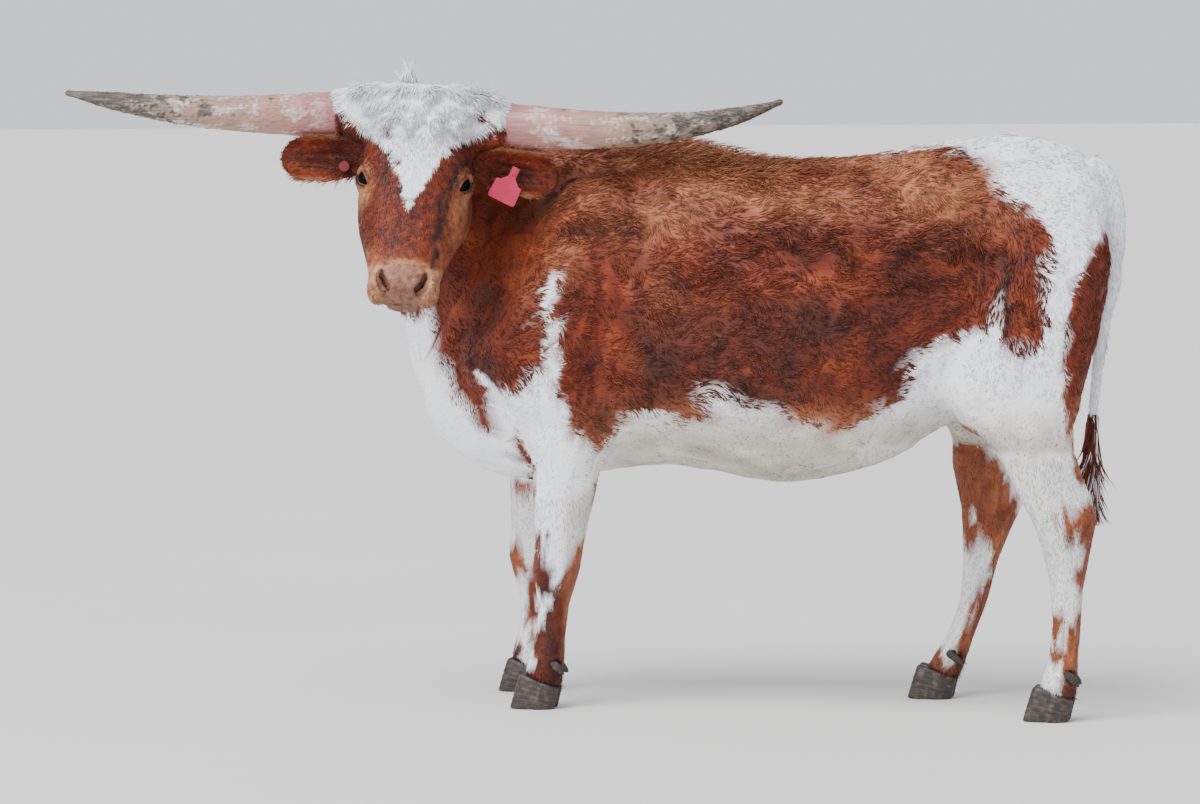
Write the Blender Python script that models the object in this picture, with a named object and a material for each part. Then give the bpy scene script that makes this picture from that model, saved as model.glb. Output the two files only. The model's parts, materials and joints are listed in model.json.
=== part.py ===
"""A texas longhorn standing square with its head turned to its left, life size, in metres.

The body runs along X with the head end at -X, the animal's left side faces -Y and +Z is up.
The origin is the centre of the whole animal's bounding box, on the floor that the hooves stand on.
"""

import math

import bmesh
import bpy
import numpy as np
from mathutils import Matrix, Vector
from mathutils.bvhtree import BVHTree

# Driving dimensions of the body, in metres.
WITHERS_HEIGHT = 1.29
GAP = 0.0003
BODY_VOXEL = 0.011
HEAD_VOXEL = 0.0045
BODY_TRIANGLES = 5000
HEAD_TRIANGLES = 3500
BODY_SMOOTHING = 14
HEAD_SMOOTHING = 5

# The head: where the poll is, which way it faces, and its pitch and roll.
POLL = (-0.347, -0.275, 1.406)
HEAD_TURN = math.radians(9.5)
HEAD_PITCH = math.radians(63.0)
HEAD_ROLL = math.radians(4.5)
EYE_RADIUS = 0.0185
EYE_PLACE = (0.1080, 0.202, -0.052)
LID_THICK = 0.0042
LID_OPENING = (0.0165, 0.0098)
LOOK = (0.86, 0.0, 0.51)
LID_RUN = (-0.30, 0.80, 0.52)

# Where the head parts from the neck: two points of the plane that parts them, and the block in front of it
# as half width over the horns, half width over the muzzle, reach up, where it narrows, reach down, and depth.
NAPE = (0.0, -0.010, -0.150)
JAW_ANGLE = (0.0, 0.245, -0.232)
HEAD_BLOCK = (0.255, 0.150, 0.30, 0.050, 0.405, 0.50)

# Masses of the head, mirrored from side to side: centre and radii in head coordinates.
ORBIT = ((0.099, 0.196, -0.066), (0.037, 0.044, 0.042))
CHEEK = ((0.084, 0.225, -0.155), (0.046, 0.095, 0.062))
LIP = ((0.050, 0.461, -0.068), (0.033, 0.036, 0.040))
POLL_MASS = ((0.0, 0.016, -0.050), (0.178, 0.048, 0.053))
# What is carved in the face. The nostrils: distance from the middle, slant, distance down the face, depth, half
# width and half length; the wings round them: height, place and half sizes; and in front of what depth they lie.
NOSTRIL = (0.041, 0.35, 0.470, 0.018, 0.0085, 0.019)
NOSTRIL_WING = (0.006, 0.062, 0.457, 0.012, 0.022)
NOSE_FRONT = -0.090
# The line of the mouth: its place out of the forehead, its slope back from the lips, its depth, its half width,
# and how far down the face it starts and where it turns round the lips.
MOUTH = (-0.101, 0.10, 0.0075, 0.0055, 0.385, 0.455)
# The brow ridges: height, distance from the middle, distance down the face, and half sizes.
BROW = (0.004, 0.085, 0.165, 0.022, 0.030)
# The opening between the lids: distance from the eye's centre and share of its size, from inside to outside.
LID_STEPS = ((0.006, 0.9), (EYE_RADIUS, 1.0), (0.034, 1.25))

# The horns: how far from the middle of the head the horn starts and ends.
HORN_START = 0.196
HORN_SPAN = 0.812
HORN_ROOT = (0.034, -0.080)
HORN_TAPER = 0.62
# Each horn's rise at its tip, its droop half way, and its half thickness at the root: left, then right.
HORN_CURVES = ((0.105, -0.006, 0.0545), (0.004, 0.016, 0.0525))
# How far the horns reach forward at most, and at what share of a half wave their tips end.
HORN_SWEEP = (0.050, 0.85)
HORN_TIP = 0.0055
# How far the horn is plugged into the head, and how far its stalk goes in, as shares of the horn.
HORN_PLUG = 0.016
STALK_REACH = 0.16
STALK_ROOT = (0.05, 0.040, -0.075, 0.062)

# The ears: distances from the middle of the head, for the right and the left ear.
EAR_ROOT = 0.098
EAR_TIPS = (0.312, 0.316)
EAR_HALF_WIDTH = 0.051
EAR_PLACE = (0.130, -0.105)
# The ear's width at the root as a share, and how fast it grows; the share of its length from which it narrows
# and how roundly; half thickness at the tip and what the root adds; how deep it is cupped and how it droops.
EAR_GROWTH = (0.42, 1.35)
EAR_ROUND = (0.60, 2.3)
EAR_TIP_WIDTH = 0.007
EAR_THICK = (0.0045, 0.012)
# How deep the ear's cup is, how far its middle is set back, and how fast it deepens along the ear.
EAR_CUP = (0.50, 0.020, 2.2)
EAR_DROOP = 0.010
# The stub in the head that the ear stands on: its inner end, what it reaches past the ear's root, half thicknesses.
EAR_STUB = (0.060, 0.018, 0.040, 0.026)

# The tag on the left ear: its place from the middle of the head, how far in front of the ear, and its sizes.
TAG_PLACE = 0.221
TAG_AHEAD = 0.026
TAG_TILT = math.radians(-22.0)
TAG_WIDTH = 0.066
TAG_HEIGHT = 0.046
TAG_DROP = 0.030
TAG_NECK = 0.018
TAG_THICK = 0.0022
TAG_CORNER = 0.006
TAG_SHOULDER = 0.010
TAG_TOP = 0.008
# Radii of the tag's stud and button and of the button on the right ear, and the tag button's thickness.
STUD_RADIUS = 0.0045
TAG_BUTTON = (0.009, 0.003)
RIGHT_BUTTON_RADIUS = 0.012
# The round button on the right ear: distance from the middle, down the face, and how far it stands out.
BUTTON_PLACE = (0.165, 0.150, 0.022)

# Where the body is parted: heights of the cuts through the legs.
ELBOW_CUT = 0.495
KNEE_CUT = 0.265
STIFLE_CUT = 0.560
HOCK_CUT = 0.350

# The feet.
CORONET_HEIGHT = 0.064
CORONET_SLOPE = math.radians(20.0)
CLAW_LENGTH = 0.112
CLAW_WIDTH = 0.047
CLAW_SPREAD = 0.006
# A claw's toe and heel: how much shorter it is at the coronet, how far it leans back, the heel's share of the
# toe's length, the inner wall's share of the outer one's width, how much the toe is pinched, and its least height.
CLAW_SHAPE = (0.13, 0.018, 0.86, 0.72, 0.22, 0.020)
# How much a claw swells half way up, how much narrower its top is, how far it is set back, and its middle's place.
CLAW_SWELL = (0.05, 0.10)
CLAW_SET_BACK = 0.020
CLAW_MIDDLE = 0.36
# A dewclaw: its root and tip behind the foot's middle, to its side and above the floor, and its half thicknesses.
DEWCLAW_ROOT = (0.020, 0.019, 0.108)
DEWCLAW_TIP = (0.066, 0.026, 0.088)
DEWCLAW_THICK = (0.0125, 0.0130, 0.0115, 0.0055)

# Trunk stations: X, bottom, height of the widest line, top, half width.
TRUNK = (
    (-0.410, 0.640, 0.740, 0.860, 0.060),
    (-0.350, 0.575, 0.760, 1.000, 0.120),
    (-0.260, 0.523, 0.780, 1.120, 0.168),
    (-0.140, 0.505, 0.800, 1.200, 0.205),
    (0.000, 0.525, 0.820, 1.262, 0.232),
    (0.160, 0.545, 0.830, WITHERS_HEIGHT, 0.252),
    (0.260, 0.533, 0.830, 1.274, 0.268),
    (0.360, 0.514, 0.835, 1.251, 0.280),
    (0.460, 0.507, 0.840, 1.247, 0.286),
    (0.580, 0.530, 0.850, 1.255, 0.284),
    (0.690, 0.572, 0.870, 1.270, 0.268),
    (0.790, 0.632, 0.910, 1.291, 0.250),
    (0.920, 0.700, 0.960, 1.308, 0.228),
    (1.030, 0.780, 1.010, 1.297, 0.185),
    (1.105, 0.880, 1.060, 1.270, 0.130),
    (1.150, 0.960, 1.080, 1.215, 0.070),
)

# Masses that break the outline, mirrored: hook bone, pin bone, point of the shoulder, withers, shoulder blade.
MASSES = (
    ((0.815, 0.135, 1.160), (0.130, 0.082, 0.090)),
    ((1.085, 0.090, 1.140), (0.100, 0.070, 0.100)),
    ((-0.200, 0.140, 0.790), (0.095, 0.080, 0.105)),
    ((0.060, 0.055, 1.200), (0.190, 0.060, 0.085)),
    ((0.030, 0.150, 0.980), (0.170, 0.097, 0.240)),
)
# Masses that move with a leg: stifle, elbow and flank, with their X on the near and on the far side.
LEG_MASSES = (
    ((0.905, 0.815), (0.160, 0.745), (0.085, 0.060, 0.120)),
    ((0.020, -0.075), (0.172, 0.610), (0.050, 0.048, 0.060)),
    ((0.900, 0.830), (0.140, 0.800), (0.150, 0.085, 0.130)),
)
# The folds of the brisket: centre, radii and tilt.
BRISKET = (
    ((-0.305, 0.0, 0.680), (0.105, 0.085, 0.110), 0.6),
    ((-0.200, 0.0, 0.605), (0.140, 0.085, 0.088), 0.0),
)
# The plane that parts neck and trunk: its top in front of the withers and its bottom on the brisket.
SHOULDER_PLANE = ((-0.015, 0.0, 1.30), (-0.375, 0.0, 0.60))

# Neck stations: a point on the crest, a point on the throat, half width.
NECK = (
    ((0.140, 0.000, 1.275), (-0.120, 0.000, 0.560), 0.165),
    ((0.000, 0.000, 1.281), (-0.280, 0.000, 0.545), 0.155),
    ((-0.130, 0.000, 1.277), (-0.392, 0.000, 0.645), 0.138),
    ((-0.235, -0.020, 1.272), (-0.447, -0.010, 0.770), 0.125),
    ((-0.315, -0.060, 1.285), (-0.460, -0.040, 0.880), 0.118),
    ((-0.362, -0.120, 1.310), (-0.448, -0.100, 0.980), 0.112),
    ((-0.378, -0.180, 1.335), (-0.405, -0.165, 1.070), 0.106),
    ((-0.362, -0.235, 1.355), (-0.380, -0.235, 1.120), 0.092),
)

# Leg stations: X, distance from the middle, height, half length, half width.
NEAR_FORELEG = (
    (0.090, 0.085, 1.230, 0.050, 0.050),
    (0.050, 0.130, 1.130, 0.095, 0.075),
    (-0.010, 0.165, 1.000, 0.125, 0.085),
    (-0.060, 0.185, 0.890, 0.142, 0.085),
    (-0.095, 0.190, 0.800, 0.150, 0.082),
    (-0.078, 0.185, 0.720, 0.130, 0.075),
    (-0.045, 0.178, 0.655, 0.104, 0.068),
    (-0.041, 0.174, 0.560, 0.086, 0.060),
    (-0.053, 0.171, 0.450, 0.069, 0.050),
    (-0.060, 0.170, 0.380, 0.060, 0.045),
    (-0.068, 0.169, 0.312, 0.057, 0.045),
    (-0.073, 0.168, 0.260, 0.044, 0.036),
    (-0.076, 0.167, 0.215, 0.038, 0.030),
    (-0.083, 0.166, 0.160, 0.038, 0.031),
    (-0.091, 0.165, 0.115, 0.045, 0.040),
    (-0.100, 0.164, 0.078, 0.046, 0.042),
    (-0.108, 0.164, 0.030, 0.050, 0.044),
)
NEAR_HINDLEG = (
    (0.930, 0.070, 1.240, 0.110, 0.070),
    (0.985, 0.110, 1.150, 0.165, 0.095),
    (1.028, 0.140, 1.050, 0.168, 0.100),
    (1.026, 0.152, 0.960, 0.163, 0.100),
    (1.005, 0.158, 0.860, 0.165, 0.098),
    (0.985, 0.163, 0.780, 0.165, 0.088),
    (0.985, 0.176, 0.705, 0.148, 0.073),
    (1.002, 0.188, 0.650, 0.118, 0.068),
    (1.030, 0.194, 0.600, 0.092, 0.056),
    (1.055, 0.197, 0.540, 0.086, 0.048),
    (1.080, 0.198, 0.490, 0.084, 0.042),
    (1.096, 0.198, 0.440, 0.073, 0.043),
    (1.100, 0.198, 0.385, 0.058, 0.040),
    (1.101, 0.198, 0.310, 0.043, 0.031),
    (1.101, 0.198, 0.220, 0.036, 0.028),
    (1.094, 0.198, 0.140, 0.037, 0.030),
    (1.088, 0.198, 0.105, 0.043, 0.038),
    (1.079, 0.198, 0.070, 0.045, 0.041),
    (1.070, 0.198, 0.030, 0.050, 0.043),
)
# How far forward of the near leg the far one stands, at a few heights (height, shift in X).
FAR_FORE_SHIFT = ((0.030, -0.100), (0.160, -0.108), (0.310, -0.130), (0.560, -0.130), (0.720, -0.060), (0.900, 0.0))
FAR_HIND_SHIFT = ((0.030, -0.315), (0.105, -0.298), (0.220, -0.262), (0.400, -0.228), (0.560, -0.175),
                  (0.700, -0.085), (0.900, 0.0))
FAR_FORE_IN = 0.015
FAR_HIND_IN = 0.025

# Head stations along the face from the poll: distance, half width, forehead line, jaw line.
HEAD = (
    (-0.035, 0.080, -0.040, -0.120),
    (-0.012, 0.125, -0.006, -0.145),
    (0.030, 0.140, 0.006, -0.165),
    (0.100, 0.125, 0.010, -0.195),
    (0.150, 0.125, 0.008, -0.212),
    (0.200, 0.128, 0.003, -0.222),
    (0.255, 0.126, -0.003, -0.214),
    (0.315, 0.117, -0.009, -0.187),
    (0.370, 0.100, -0.012, -0.156),
    (0.420, 0.085, -0.014, -0.132),
    (0.458, 0.079, -0.020, -0.114),
    (0.482, 0.075, -0.034, -0.104),
    (0.497, 0.057, -0.054, -0.097),
)
# The lower jaw and chin, in the same way.
JAW = (
    (0.200, 0.085, -0.140, -0.218),
    (0.300, 0.070, -0.110, -0.190),
    (0.380, 0.052, -0.095, -0.158),
    (0.435, 0.045, -0.085, -0.143),
    (0.472, 0.046, -0.085, -0.137),
    (0.494, 0.036, -0.094, -0.127),
)

# The tail's middle line in the animal's middle plane, from its root to the tip of its switch: X, Z, half thickness.
TAIL = (
    (1.080, 1.228, 0.034),
    (1.128, 1.232, 0.034),
    (1.164, 1.195, 0.032),
    (1.184, 1.130, 0.029),
    (1.186, 1.050, 0.026),
    (1.172, 0.950, 0.022),
    (1.154, 0.840, 0.019),
    (1.142, 0.740, 0.017),
    (1.135, 0.660, 0.016),
    (1.131, 0.590, 0.026),
    (1.129, 0.520, 0.028),
    (1.129, 0.455, 0.017),
    (1.129, 0.405, 0.003),
)
SWITCH_START = 8
TAIL_STEP = 2

# A lock of long hair, root to tip: share of its length, share of its width, share of its lift off the surface.
LOCK_SHAPE = ((0.0, 0.55, -0.6), (0.32, 1.0, 0.7), (0.70, 0.75, 1.0), (1.0, 0.08, 0.55))
LOCK_RIDGE = 0.26
# The whorl on the poll that its hair spreads from, and the rows of locks round it: places down the face and out of
# the forehead that a row is dropped on to the head from, its reach to each side, number of locks and their length.
WHORL = (-0.018, -0.070, -0.030)
POLL_ROWS = (
    (-0.085, -0.060, 0.105, 6, 0.072),
    (-0.055, 0.020, 0.115, 7, 0.070),
    (0.010, 0.050, 0.110, 7, 0.072),
    (0.052, 0.050, 0.072, 4, 0.072),
)
POLL_LOCK_WIDTH = 0.037
POLL_LOCK_LIFT = 0.015
# The tuft that stands up beside the whorl: its place, how far each of its locks leans to the left and forwards
# with the lock's length, and their width and lift.
TUFT_PLACE = (-0.042, -0.070, -0.030)
TUFT = ((-0.06, 0.10, 0.048), (-0.55, 0.00, 0.034), (0.45, 0.20, 0.036))
TUFT_LOCK = (0.017, 0.002)
# The switch: half thickness of its core, rings of locks from the first height down by a step, locks in a ring,
# their length, width and lift, and how much more each ring above the lowest lifts.
SWITCH_CORE = (0.017, 0.510)
SWITCH_RINGS = (3, 0.634, 0.044)
SWITCH_RING_LOCKS = 6
SWITCH_LOCK = (0.165, 0.027, 0.009)
SWITCH_SPREAD = 0.005


# Each finish: name, colour and roughness.
FINISHES = (
    ("coat", (0.28, 0.08, 0.03), 0.75),
    ("horn", (0.55, 0.40, 0.30), 0.55),
    ("hoof", (0.09, 0.07, 0.06), 0.50),
    ("eye", (0.01, 0.01, 0.01), 0.10),
    ("tag", (0.80, 0.06, 0.16), 0.45),
    ("button", (0.60, 0.03, 0.03), 0.45),
)


def between(rows, count):
    """Rows of numbers read as one smooth curve (Catmull-Rom) and sampled at count even steps."""
    points = np.array(rows, float)
    padded = np.vstack([2 * points[0] - points[1], points, 2 * points[-1] - points[-2]])
    place = np.linspace(0, len(points) - 1, count)
    start = np.minimum(place.astype(int), len(points) - 2)
    t = (place - start)[:, None]
    a, b, c, d = (padded[start + k] for k in range(4))
    return 0.5 * (2 * b + (c - a) * t + (2 * a - 5 * b + 4 * c - d) * t**2 + (3 * b - a - 3 * c + d) * t**3)


def around(count):
    """Even angles round a ring."""
    return np.linspace(0, 2 * math.pi, count, endpoint=False)


def superellipse(angle, power):
    """Sine and cosine of a squarer circle: power 2 is round and more is squarer."""
    s, c = np.sin(angle), np.cos(angle)
    return np.sign(s) * abs(s) ** (2 / power), np.sign(c) * abs(c) ** (2 / power)


def mesh_object(name, points, faces):
    """A mesh object from an array of points and a list of faces."""
    mesh = bpy.data.meshes.new(name)
    mesh.from_pydata([tuple(map(float, p)) for p in points], [], faces)
    mesh.update()
    made = bpy.data.objects.new(name, mesh)
    bpy.context.scene.collection.objects.link(made)
    return made


def loft(name, rings):
    """A closed skin over rings of equal length, each end closed by a fan to its own middle."""
    rings = np.array(rings, float)
    rows, count = rings.shape[:2]
    points = np.vstack([rings.reshape(-1, 3), rings[0].mean(0), rings[-1].mean(0)])
    first, last = rows * count, rows * count + 1
    faces = []
    for k in range(count):
        j = (k + 1) % count
        for i in range(rows - 1):
            faces.append((i * count + k, (i + 1) * count + k, (i + 1) * count + j))
            faces.append((i * count + k, (i + 1) * count + j, i * count + j))
        faces.append((first, k, j))
        faces.append((last, (rows - 1) * count + j, (rows - 1) * count + k))
    made = mesh_object(name, points, faces)
    face_outwards(made.data)
    return made


def face_outwards(mesh):
    """Turns a closed mesh's faces to point out."""
    work = bmesh.new()
    work.from_mesh(mesh)
    bmesh.ops.recalc_face_normals(work, faces=work.faces)
    if work.calc_volume(signed=True) < 0:
        bmesh.ops.reverse_faces(work, faces=work.faces)
    work.to_mesh(mesh)
    work.free()


def ellipsoid(name, centre, radii, turn=(0, 0, 0), segments=24):
    """A ball stretched to three radii, turned, and put at its centre."""
    work = bmesh.new()
    bmesh.ops.create_uvsphere(work, u_segments=segments, v_segments=segments // 2, radius=1.0)
    mesh = bpy.data.meshes.new(name)
    work.to_mesh(mesh)
    work.free()
    spin = Matrix.Rotation(turn[2], 4, "Z") @ Matrix.Rotation(turn[1], 4, "Y") @ Matrix.Rotation(turn[0], 4, "X")
    mesh.transform(Matrix.Translation(centre) @ spin @ Matrix.Diagonal((*radii, 1.0)))
    made = bpy.data.objects.new(name, mesh)
    bpy.context.scene.collection.objects.link(made)
    return made


def applied(obj):
    """Replaces an object's mesh by what its modifiers make of it."""
    graph = bpy.context.evaluated_depsgraph_get()
    mesh = bpy.data.meshes.new_from_object(obj.evaluated_get(graph))
    obj.modifiers.clear()
    obj.data = mesh
    return obj


def joined(name, objects):
    """Several objects as one mesh, still as separate shells."""
    work = bmesh.new()
    for piece in objects:
        work.from_mesh(piece.data)
        bpy.data.objects.remove(piece)
    mesh = bpy.data.meshes.new(name)
    work.to_mesh(mesh)
    work.free()
    made = bpy.data.objects.new(name, mesh)
    bpy.context.scene.collection.objects.link(made)
    return made


def fused(obj, voxel, smoothing):
    """One continuous surface over overlapping shells, smoothed where they meet."""
    remesh = obj.modifiers.new("remesh", "REMESH")
    remesh.mode = "VOXEL"
    remesh.voxel_size = voxel
    smooth = obj.modifiers.new("smooth", "SMOOTH")
    smooth.factor = 0.5
    smooth.iterations = smoothing
    return applied(obj)


def thinned(obj, triangles):
    """The same surface with about that many triangles."""
    have = sum(len(p.vertices) - 2 for p in obj.data.polygons)
    decimate = obj.modifiers.new("decimate", "DECIMATE")
    decimate.ratio = min(1.0, triangles / have)
    decimate.use_collapse_triangulate = True
    return applied(obj)


def block(name, low, high, matrix=None):
    """A box between two corners, turned by a matrix."""
    low, high = Vector(low), Vector(high)
    work = bmesh.new()
    bmesh.ops.create_cube(work, size=1.0)
    mesh = bpy.data.meshes.new(name)
    work.to_mesh(mesh)
    work.free()
    mesh.transform(Matrix.Translation((low + high) / 2) @ Matrix.Diagonal((*(high - low), 1.0)))
    if matrix is not None:
        mesh.transform(matrix)
    made = bpy.data.objects.new(name, mesh)
    bpy.context.scene.collection.objects.link(made)
    return made


def copy_of(obj, name):
    """A second object with its own copy of the mesh."""
    made = bpy.data.objects.new(name, obj.data.copy())
    bpy.context.scene.collection.objects.link(made)
    return made


def cut(obj, operation, tools):
    """Applies one Boolean with each tool in turn and removes the tools."""
    for tool in tools:
        boolean = obj.modifiers.new("cut", "BOOLEAN")
        boolean.operation = operation
        boolean.solver = "EXACT"
        boolean.object = tool
        applied(obj)
        bpy.data.objects.remove(tool)
    return obj


def largest_shell(obj):
    """Keeps only the closed surface with the most faces."""
    work = bmesh.new()
    work.from_mesh(obj.data)
    left, shells = set(work.faces), []
    while left:
        seed = left.pop()
        shell, stack = {seed}, [seed]
        while stack:
            for edge in stack.pop().edges:
                for face in edge.link_faces:
                    if face in left:
                        left.discard(face)
                        shell.add(face)
                        stack.append(face)
        shells.append(shell)
    shells.sort(key=len)
    drop = [face for shell in shells[:-1] for face in shell]
    if drop:
        bmesh.ops.delete(work, geom=drop, context="FACES")
        loose = [v for v in work.verts if not v.link_faces]
        bmesh.ops.delete(work, geom=loose, context="VERTS")
    work.to_mesh(obj.data)
    work.free()
    return obj


def united(obj, pieces):
    """Joins closed pieces to a solid and keeps the one closed surface that they make with it.

    The exact solver leaves edges where four faces meet on locks that cross, so this union is made by the other.
    """
    group = bpy.data.collections.new("pieces")
    for piece in pieces:
        group.objects.link(piece)
    union = obj.modifiers.new("join", "BOOLEAN")
    union.operation = "UNION"
    union.solver = "MANIFOLD"
    union.operand_type = "COLLECTION"
    union.collection = group
    applied(obj)
    for piece in pieces:
        bpy.data.objects.remove(piece)
    bpy.data.collections.remove(group)
    return largest_shell(obj)


def trunk():
    """The barrel from brisket to rump: egg-shaped sections, widest low down."""
    angle = around(40)
    side, up = superellipse(angle, 2.25)
    rings = []
    for x, bottom, middle, top, half in between(TRUNK, 46):
        height = np.where(up > 0, top - middle, middle - bottom)
        rings.append(np.stack([np.full_like(angle, x), half * side, middle + height * up], 1))
    return loft("trunk", rings)


def neck():
    """The neck from the shoulder to the poll, with a thin throat and a full middle."""
    angle = around(32)
    side, up = superellipse(angle, 2.1)
    rows = [(*crest, *throat, half) for crest, throat, half in NECK]
    rows = between(rows, 30)
    middles = (rows[:, 0:3] + rows[:, 3:6]) / 2
    run = np.gradient(middles, axis=0)
    rings = []
    for row, centre, forward in zip(rows, middles, run):
        tall = (row[0:3] - row[3:6]) / 2
        across = np.cross(tall, forward)
        across /= np.linalg.norm(across)
        slim = np.where(up < 0, 1 - 0.45 * abs(up) ** 2, 1.0)
        rings.append(centre + np.outer(up, tall) + np.outer(side * slim * row[6], across))
    return loft("neck", rings)


def leg(name, stations, side, shift=None, inward=0.0):
    """A leg from the shoulder or hip to the coronet, of oval sections."""
    angle = around(24)
    s, c = superellipse(angle, 2.2)
    rings = []
    for x, y, z, length, width in between(stations, 44):
        if shift is not None:
            heights, moves = zip(*shift)
            x += np.interp(z, heights, moves)
            y -= inward
        rings.append(np.stack([x + length * c, side * y + width * s, np.full_like(angle, z)], 1))
    return loft(name, rings)


def muscles(side):
    """The masses that break the outline on one side."""
    masses = [((x, side * y, z), radii) for (x, y, z), radii in MASSES]
    masses += [((xs[side > 0], side * y, z), radii) for xs, (y, z), radii in LEG_MASSES]
    return [ellipsoid("mass", centre, radii) for centre, radii in masses]


def brisket():
    """The full fold of skin and fat between the forelegs."""
    return [ellipsoid("fold", centre, radii, (0, tilt, 0)) for centre, radii, tilt in BRISKET]


def head_axes():
    """Unit vectors of the head: towards its left, down its face, and out of its forehead."""
    ahead = np.array([math.sin(HEAD_TURN), -math.cos(HEAD_TURN), 0.0])
    left = np.array([math.cos(HEAD_TURN), math.sin(HEAD_TURN), 0.0])
    up = np.array([0.0, 0.0, 1.0])
    roll_up = up * math.cos(HEAD_ROLL) + left * math.sin(HEAD_ROLL)
    roll_left = left * math.cos(HEAD_ROLL) - up * math.sin(HEAD_ROLL)
    down_face = ahead * math.cos(HEAD_PITCH) - roll_up * math.sin(HEAD_PITCH)
    forehead = ahead * math.sin(HEAD_PITCH) + roll_up * math.cos(HEAD_PITCH)
    return roll_left, down_face, forehead, ahead, roll_up


LEFT, DOWN_FACE, FOREHEAD, AHEAD, ROLL_UP = head_axes()


def on_head(place):
    """Head coordinates (left, down the face, out of the forehead) to the body's frame."""
    place = np.atleast_2d(np.array(place, float))
    moved = place[:, :1] * LEFT + place[:, 1:2] * DOWN_FACE + place[:, 2:3] * FOREHEAD
    return moved + np.array(POLL)


def in_head(points):
    """The body's frame to head coordinates."""
    moved = np.array(points, float) - np.array(POLL)
    return np.stack([moved @ LEFT, moved @ DOWN_FACE, moved @ FOREHEAD], 1)


def head_loft(name, stations, power, rings_wanted):
    """A length of the head from a table of stations along the face."""
    angle = around(32)
    side, up = superellipse(angle, power)
    rings = []
    for along, half, top, bottom in between(stations, rings_wanted):
        middle, depth = (top + bottom) / 2, (top - bottom) / 2
        narrow = np.where(up < 0, 1 - 0.30 * abs(up), 1.0)
        ring = np.stack([half * side * narrow, np.full_like(angle, along), middle + depth * up], 1)
        rings.append(on_head(ring))
    return loft(name, rings)


def head_ellipsoid(name, centre, radii, segments=24):
    """An ellipsoid whose radii lie along the head's own axes."""
    made = ellipsoid(name, (0, 0, 0), radii, segments=segments)
    points = np.array([v.co for v in made.data.vertices])
    made.data.vertices.foreach_set("co", on_head(points + np.array(centre)).ravel())
    face_outwards(made.data)
    return made


def horn_line(side, start, end, count):
    """Middle line and half thickness of a horn: out sideways, a little forward, and up at the tip.

    start and end are shares of the horn's length, 0 at its visible root, and less than 0 inside the head.
    """
    share = np.linspace(start, end, count)
    out = HORN_START + (HORN_SPAN - HORN_START) * share
    lift, droop, base = HORN_CURVES[0 if side > 0 else 1]
    inner = np.clip(share, 0, 1)
    rise = lift * inner**3 - droop * np.sin(math.pi * inner)
    sweep = HORN_SWEEP[0] * np.sin(HORN_SWEEP[1] * math.pi * inner)
    down, forward = np.full(count, HORN_ROOT[0]), np.full(count, HORN_ROOT[1])
    line = on_head(np.stack([side * out, down, forward], 1)) + np.outer(rise, ROLL_UP) + np.outer(sweep, AHEAD)
    return line, np.maximum(base * (1 - inner) ** HORN_TAPER, HORN_TIP)


def tube(name, line, thick, count, grow=0.0, lean=(0, 0, 1), run=None):
    """A round tube along a line, with square ends; grow adds to its thickness and lean steadies its rings."""
    line, lean = np.array(line, float), np.array(lean, float)
    if run is None:
        run = np.gradient(line, axis=0)
        run /= np.linalg.norm(run, axis=1)[:, None]
    angle = around(count)
    rings = []
    for centre, forward, radius in zip(line, run, thick):
        one = lean - forward * (lean @ forward)
        one /= np.linalg.norm(one)
        two = np.cross(forward, one)
        radius = radius + grow
        rings.append(centre + radius * (np.outer(np.cos(angle), two) + np.outer(np.sin(angle), one)))
    return loft(name, rings)


def horn(name, side, grow=0.0):
    """One horn, its root plugged a little way into the head."""
    line, thick = horn_line(side, -HORN_PLUG, 1.0, 18)
    if grow:
        line[0] -= (line[1] - line[0]) / np.linalg.norm(line[1] - line[0]) * grow
    return tube(name, line, thick, 14, grow)


def ear(name, side, grow=0.0):
    """A leaf-shaped ear with a blunt tip, cupped forwards: flat ovals, each bent into a shallow C."""
    angle = around(14)
    tip = EAR_TIPS[0] if side < 0 else EAR_TIPS[1]
    rings = []
    for k, share in enumerate(np.linspace(0, 1, 12)):
        out = EAR_ROOT + (tip - EAR_ROOT) * share
        width = EAR_HALF_WIDTH * min(1.0, EAR_GROWTH[0] + EAR_GROWTH[1] * share)
        past = max(0.0, (share - EAR_ROUND[0]) / (1 - EAR_ROUND[0]))
        width = max(width * math.sqrt(1 - past ** EAR_ROUND[1]), EAR_TIP_WIDTH) + grow
        thick = EAR_THICK[0] + EAR_THICK[1] * (1 - share) + grow
        cup = EAR_CUP[0] * min(1.0, share * EAR_CUP[2])
        across, deep = width * np.cos(angle), thick * np.sin(angle)
        bend = cup * across**2 / EAR_HALF_WIDTH
        centre = on_head((side * out, *EAR_PLACE))[0] - ROLL_UP * EAR_DROOP * share**2
        ring = centre + np.outer(across, ROLL_UP) + np.outer(deep + bend - cup * EAR_CUP[1], AHEAD)
        if grow and k == 0:
            ring = ring - side * LEFT * grow
        rings.append(ring)
    return loft(name, rings)


def eye_ball(name, side, grow=0.0):
    """The eyeball, which shows between the lids."""
    centre = on_head((side * EYE_PLACE[0], EYE_PLACE[1], EYE_PLACE[2]))[0]
    return ellipsoid(name, tuple(centre), (EYE_RADIUS + grow,) * 3, segments=14)


def lid_opening(name, side):
    """What is cut from the lids: an oval that widens outwards from the eye, along the way that the eye looks."""
    look, run = np.array(LOOK), np.array(LID_RUN)
    look /= np.linalg.norm(look)
    run -= look * (run @ look)
    run /= np.linalg.norm(run)
    over = np.cross(look, run)
    angle = around(14)
    rings = []
    for reach, spread in LID_STEPS:
        ring = np.array(EYE_PLACE) + look * reach
        ring = ring + np.outer(LID_OPENING[0] * spread * np.cos(angle), run)
        ring = ring + np.outer(LID_OPENING[1] * spread * np.sin(angle), over)
        rings.append(on_head(ring * np.array([side, 1.0, 1.0])))
    return loft(name, rings)


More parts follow.
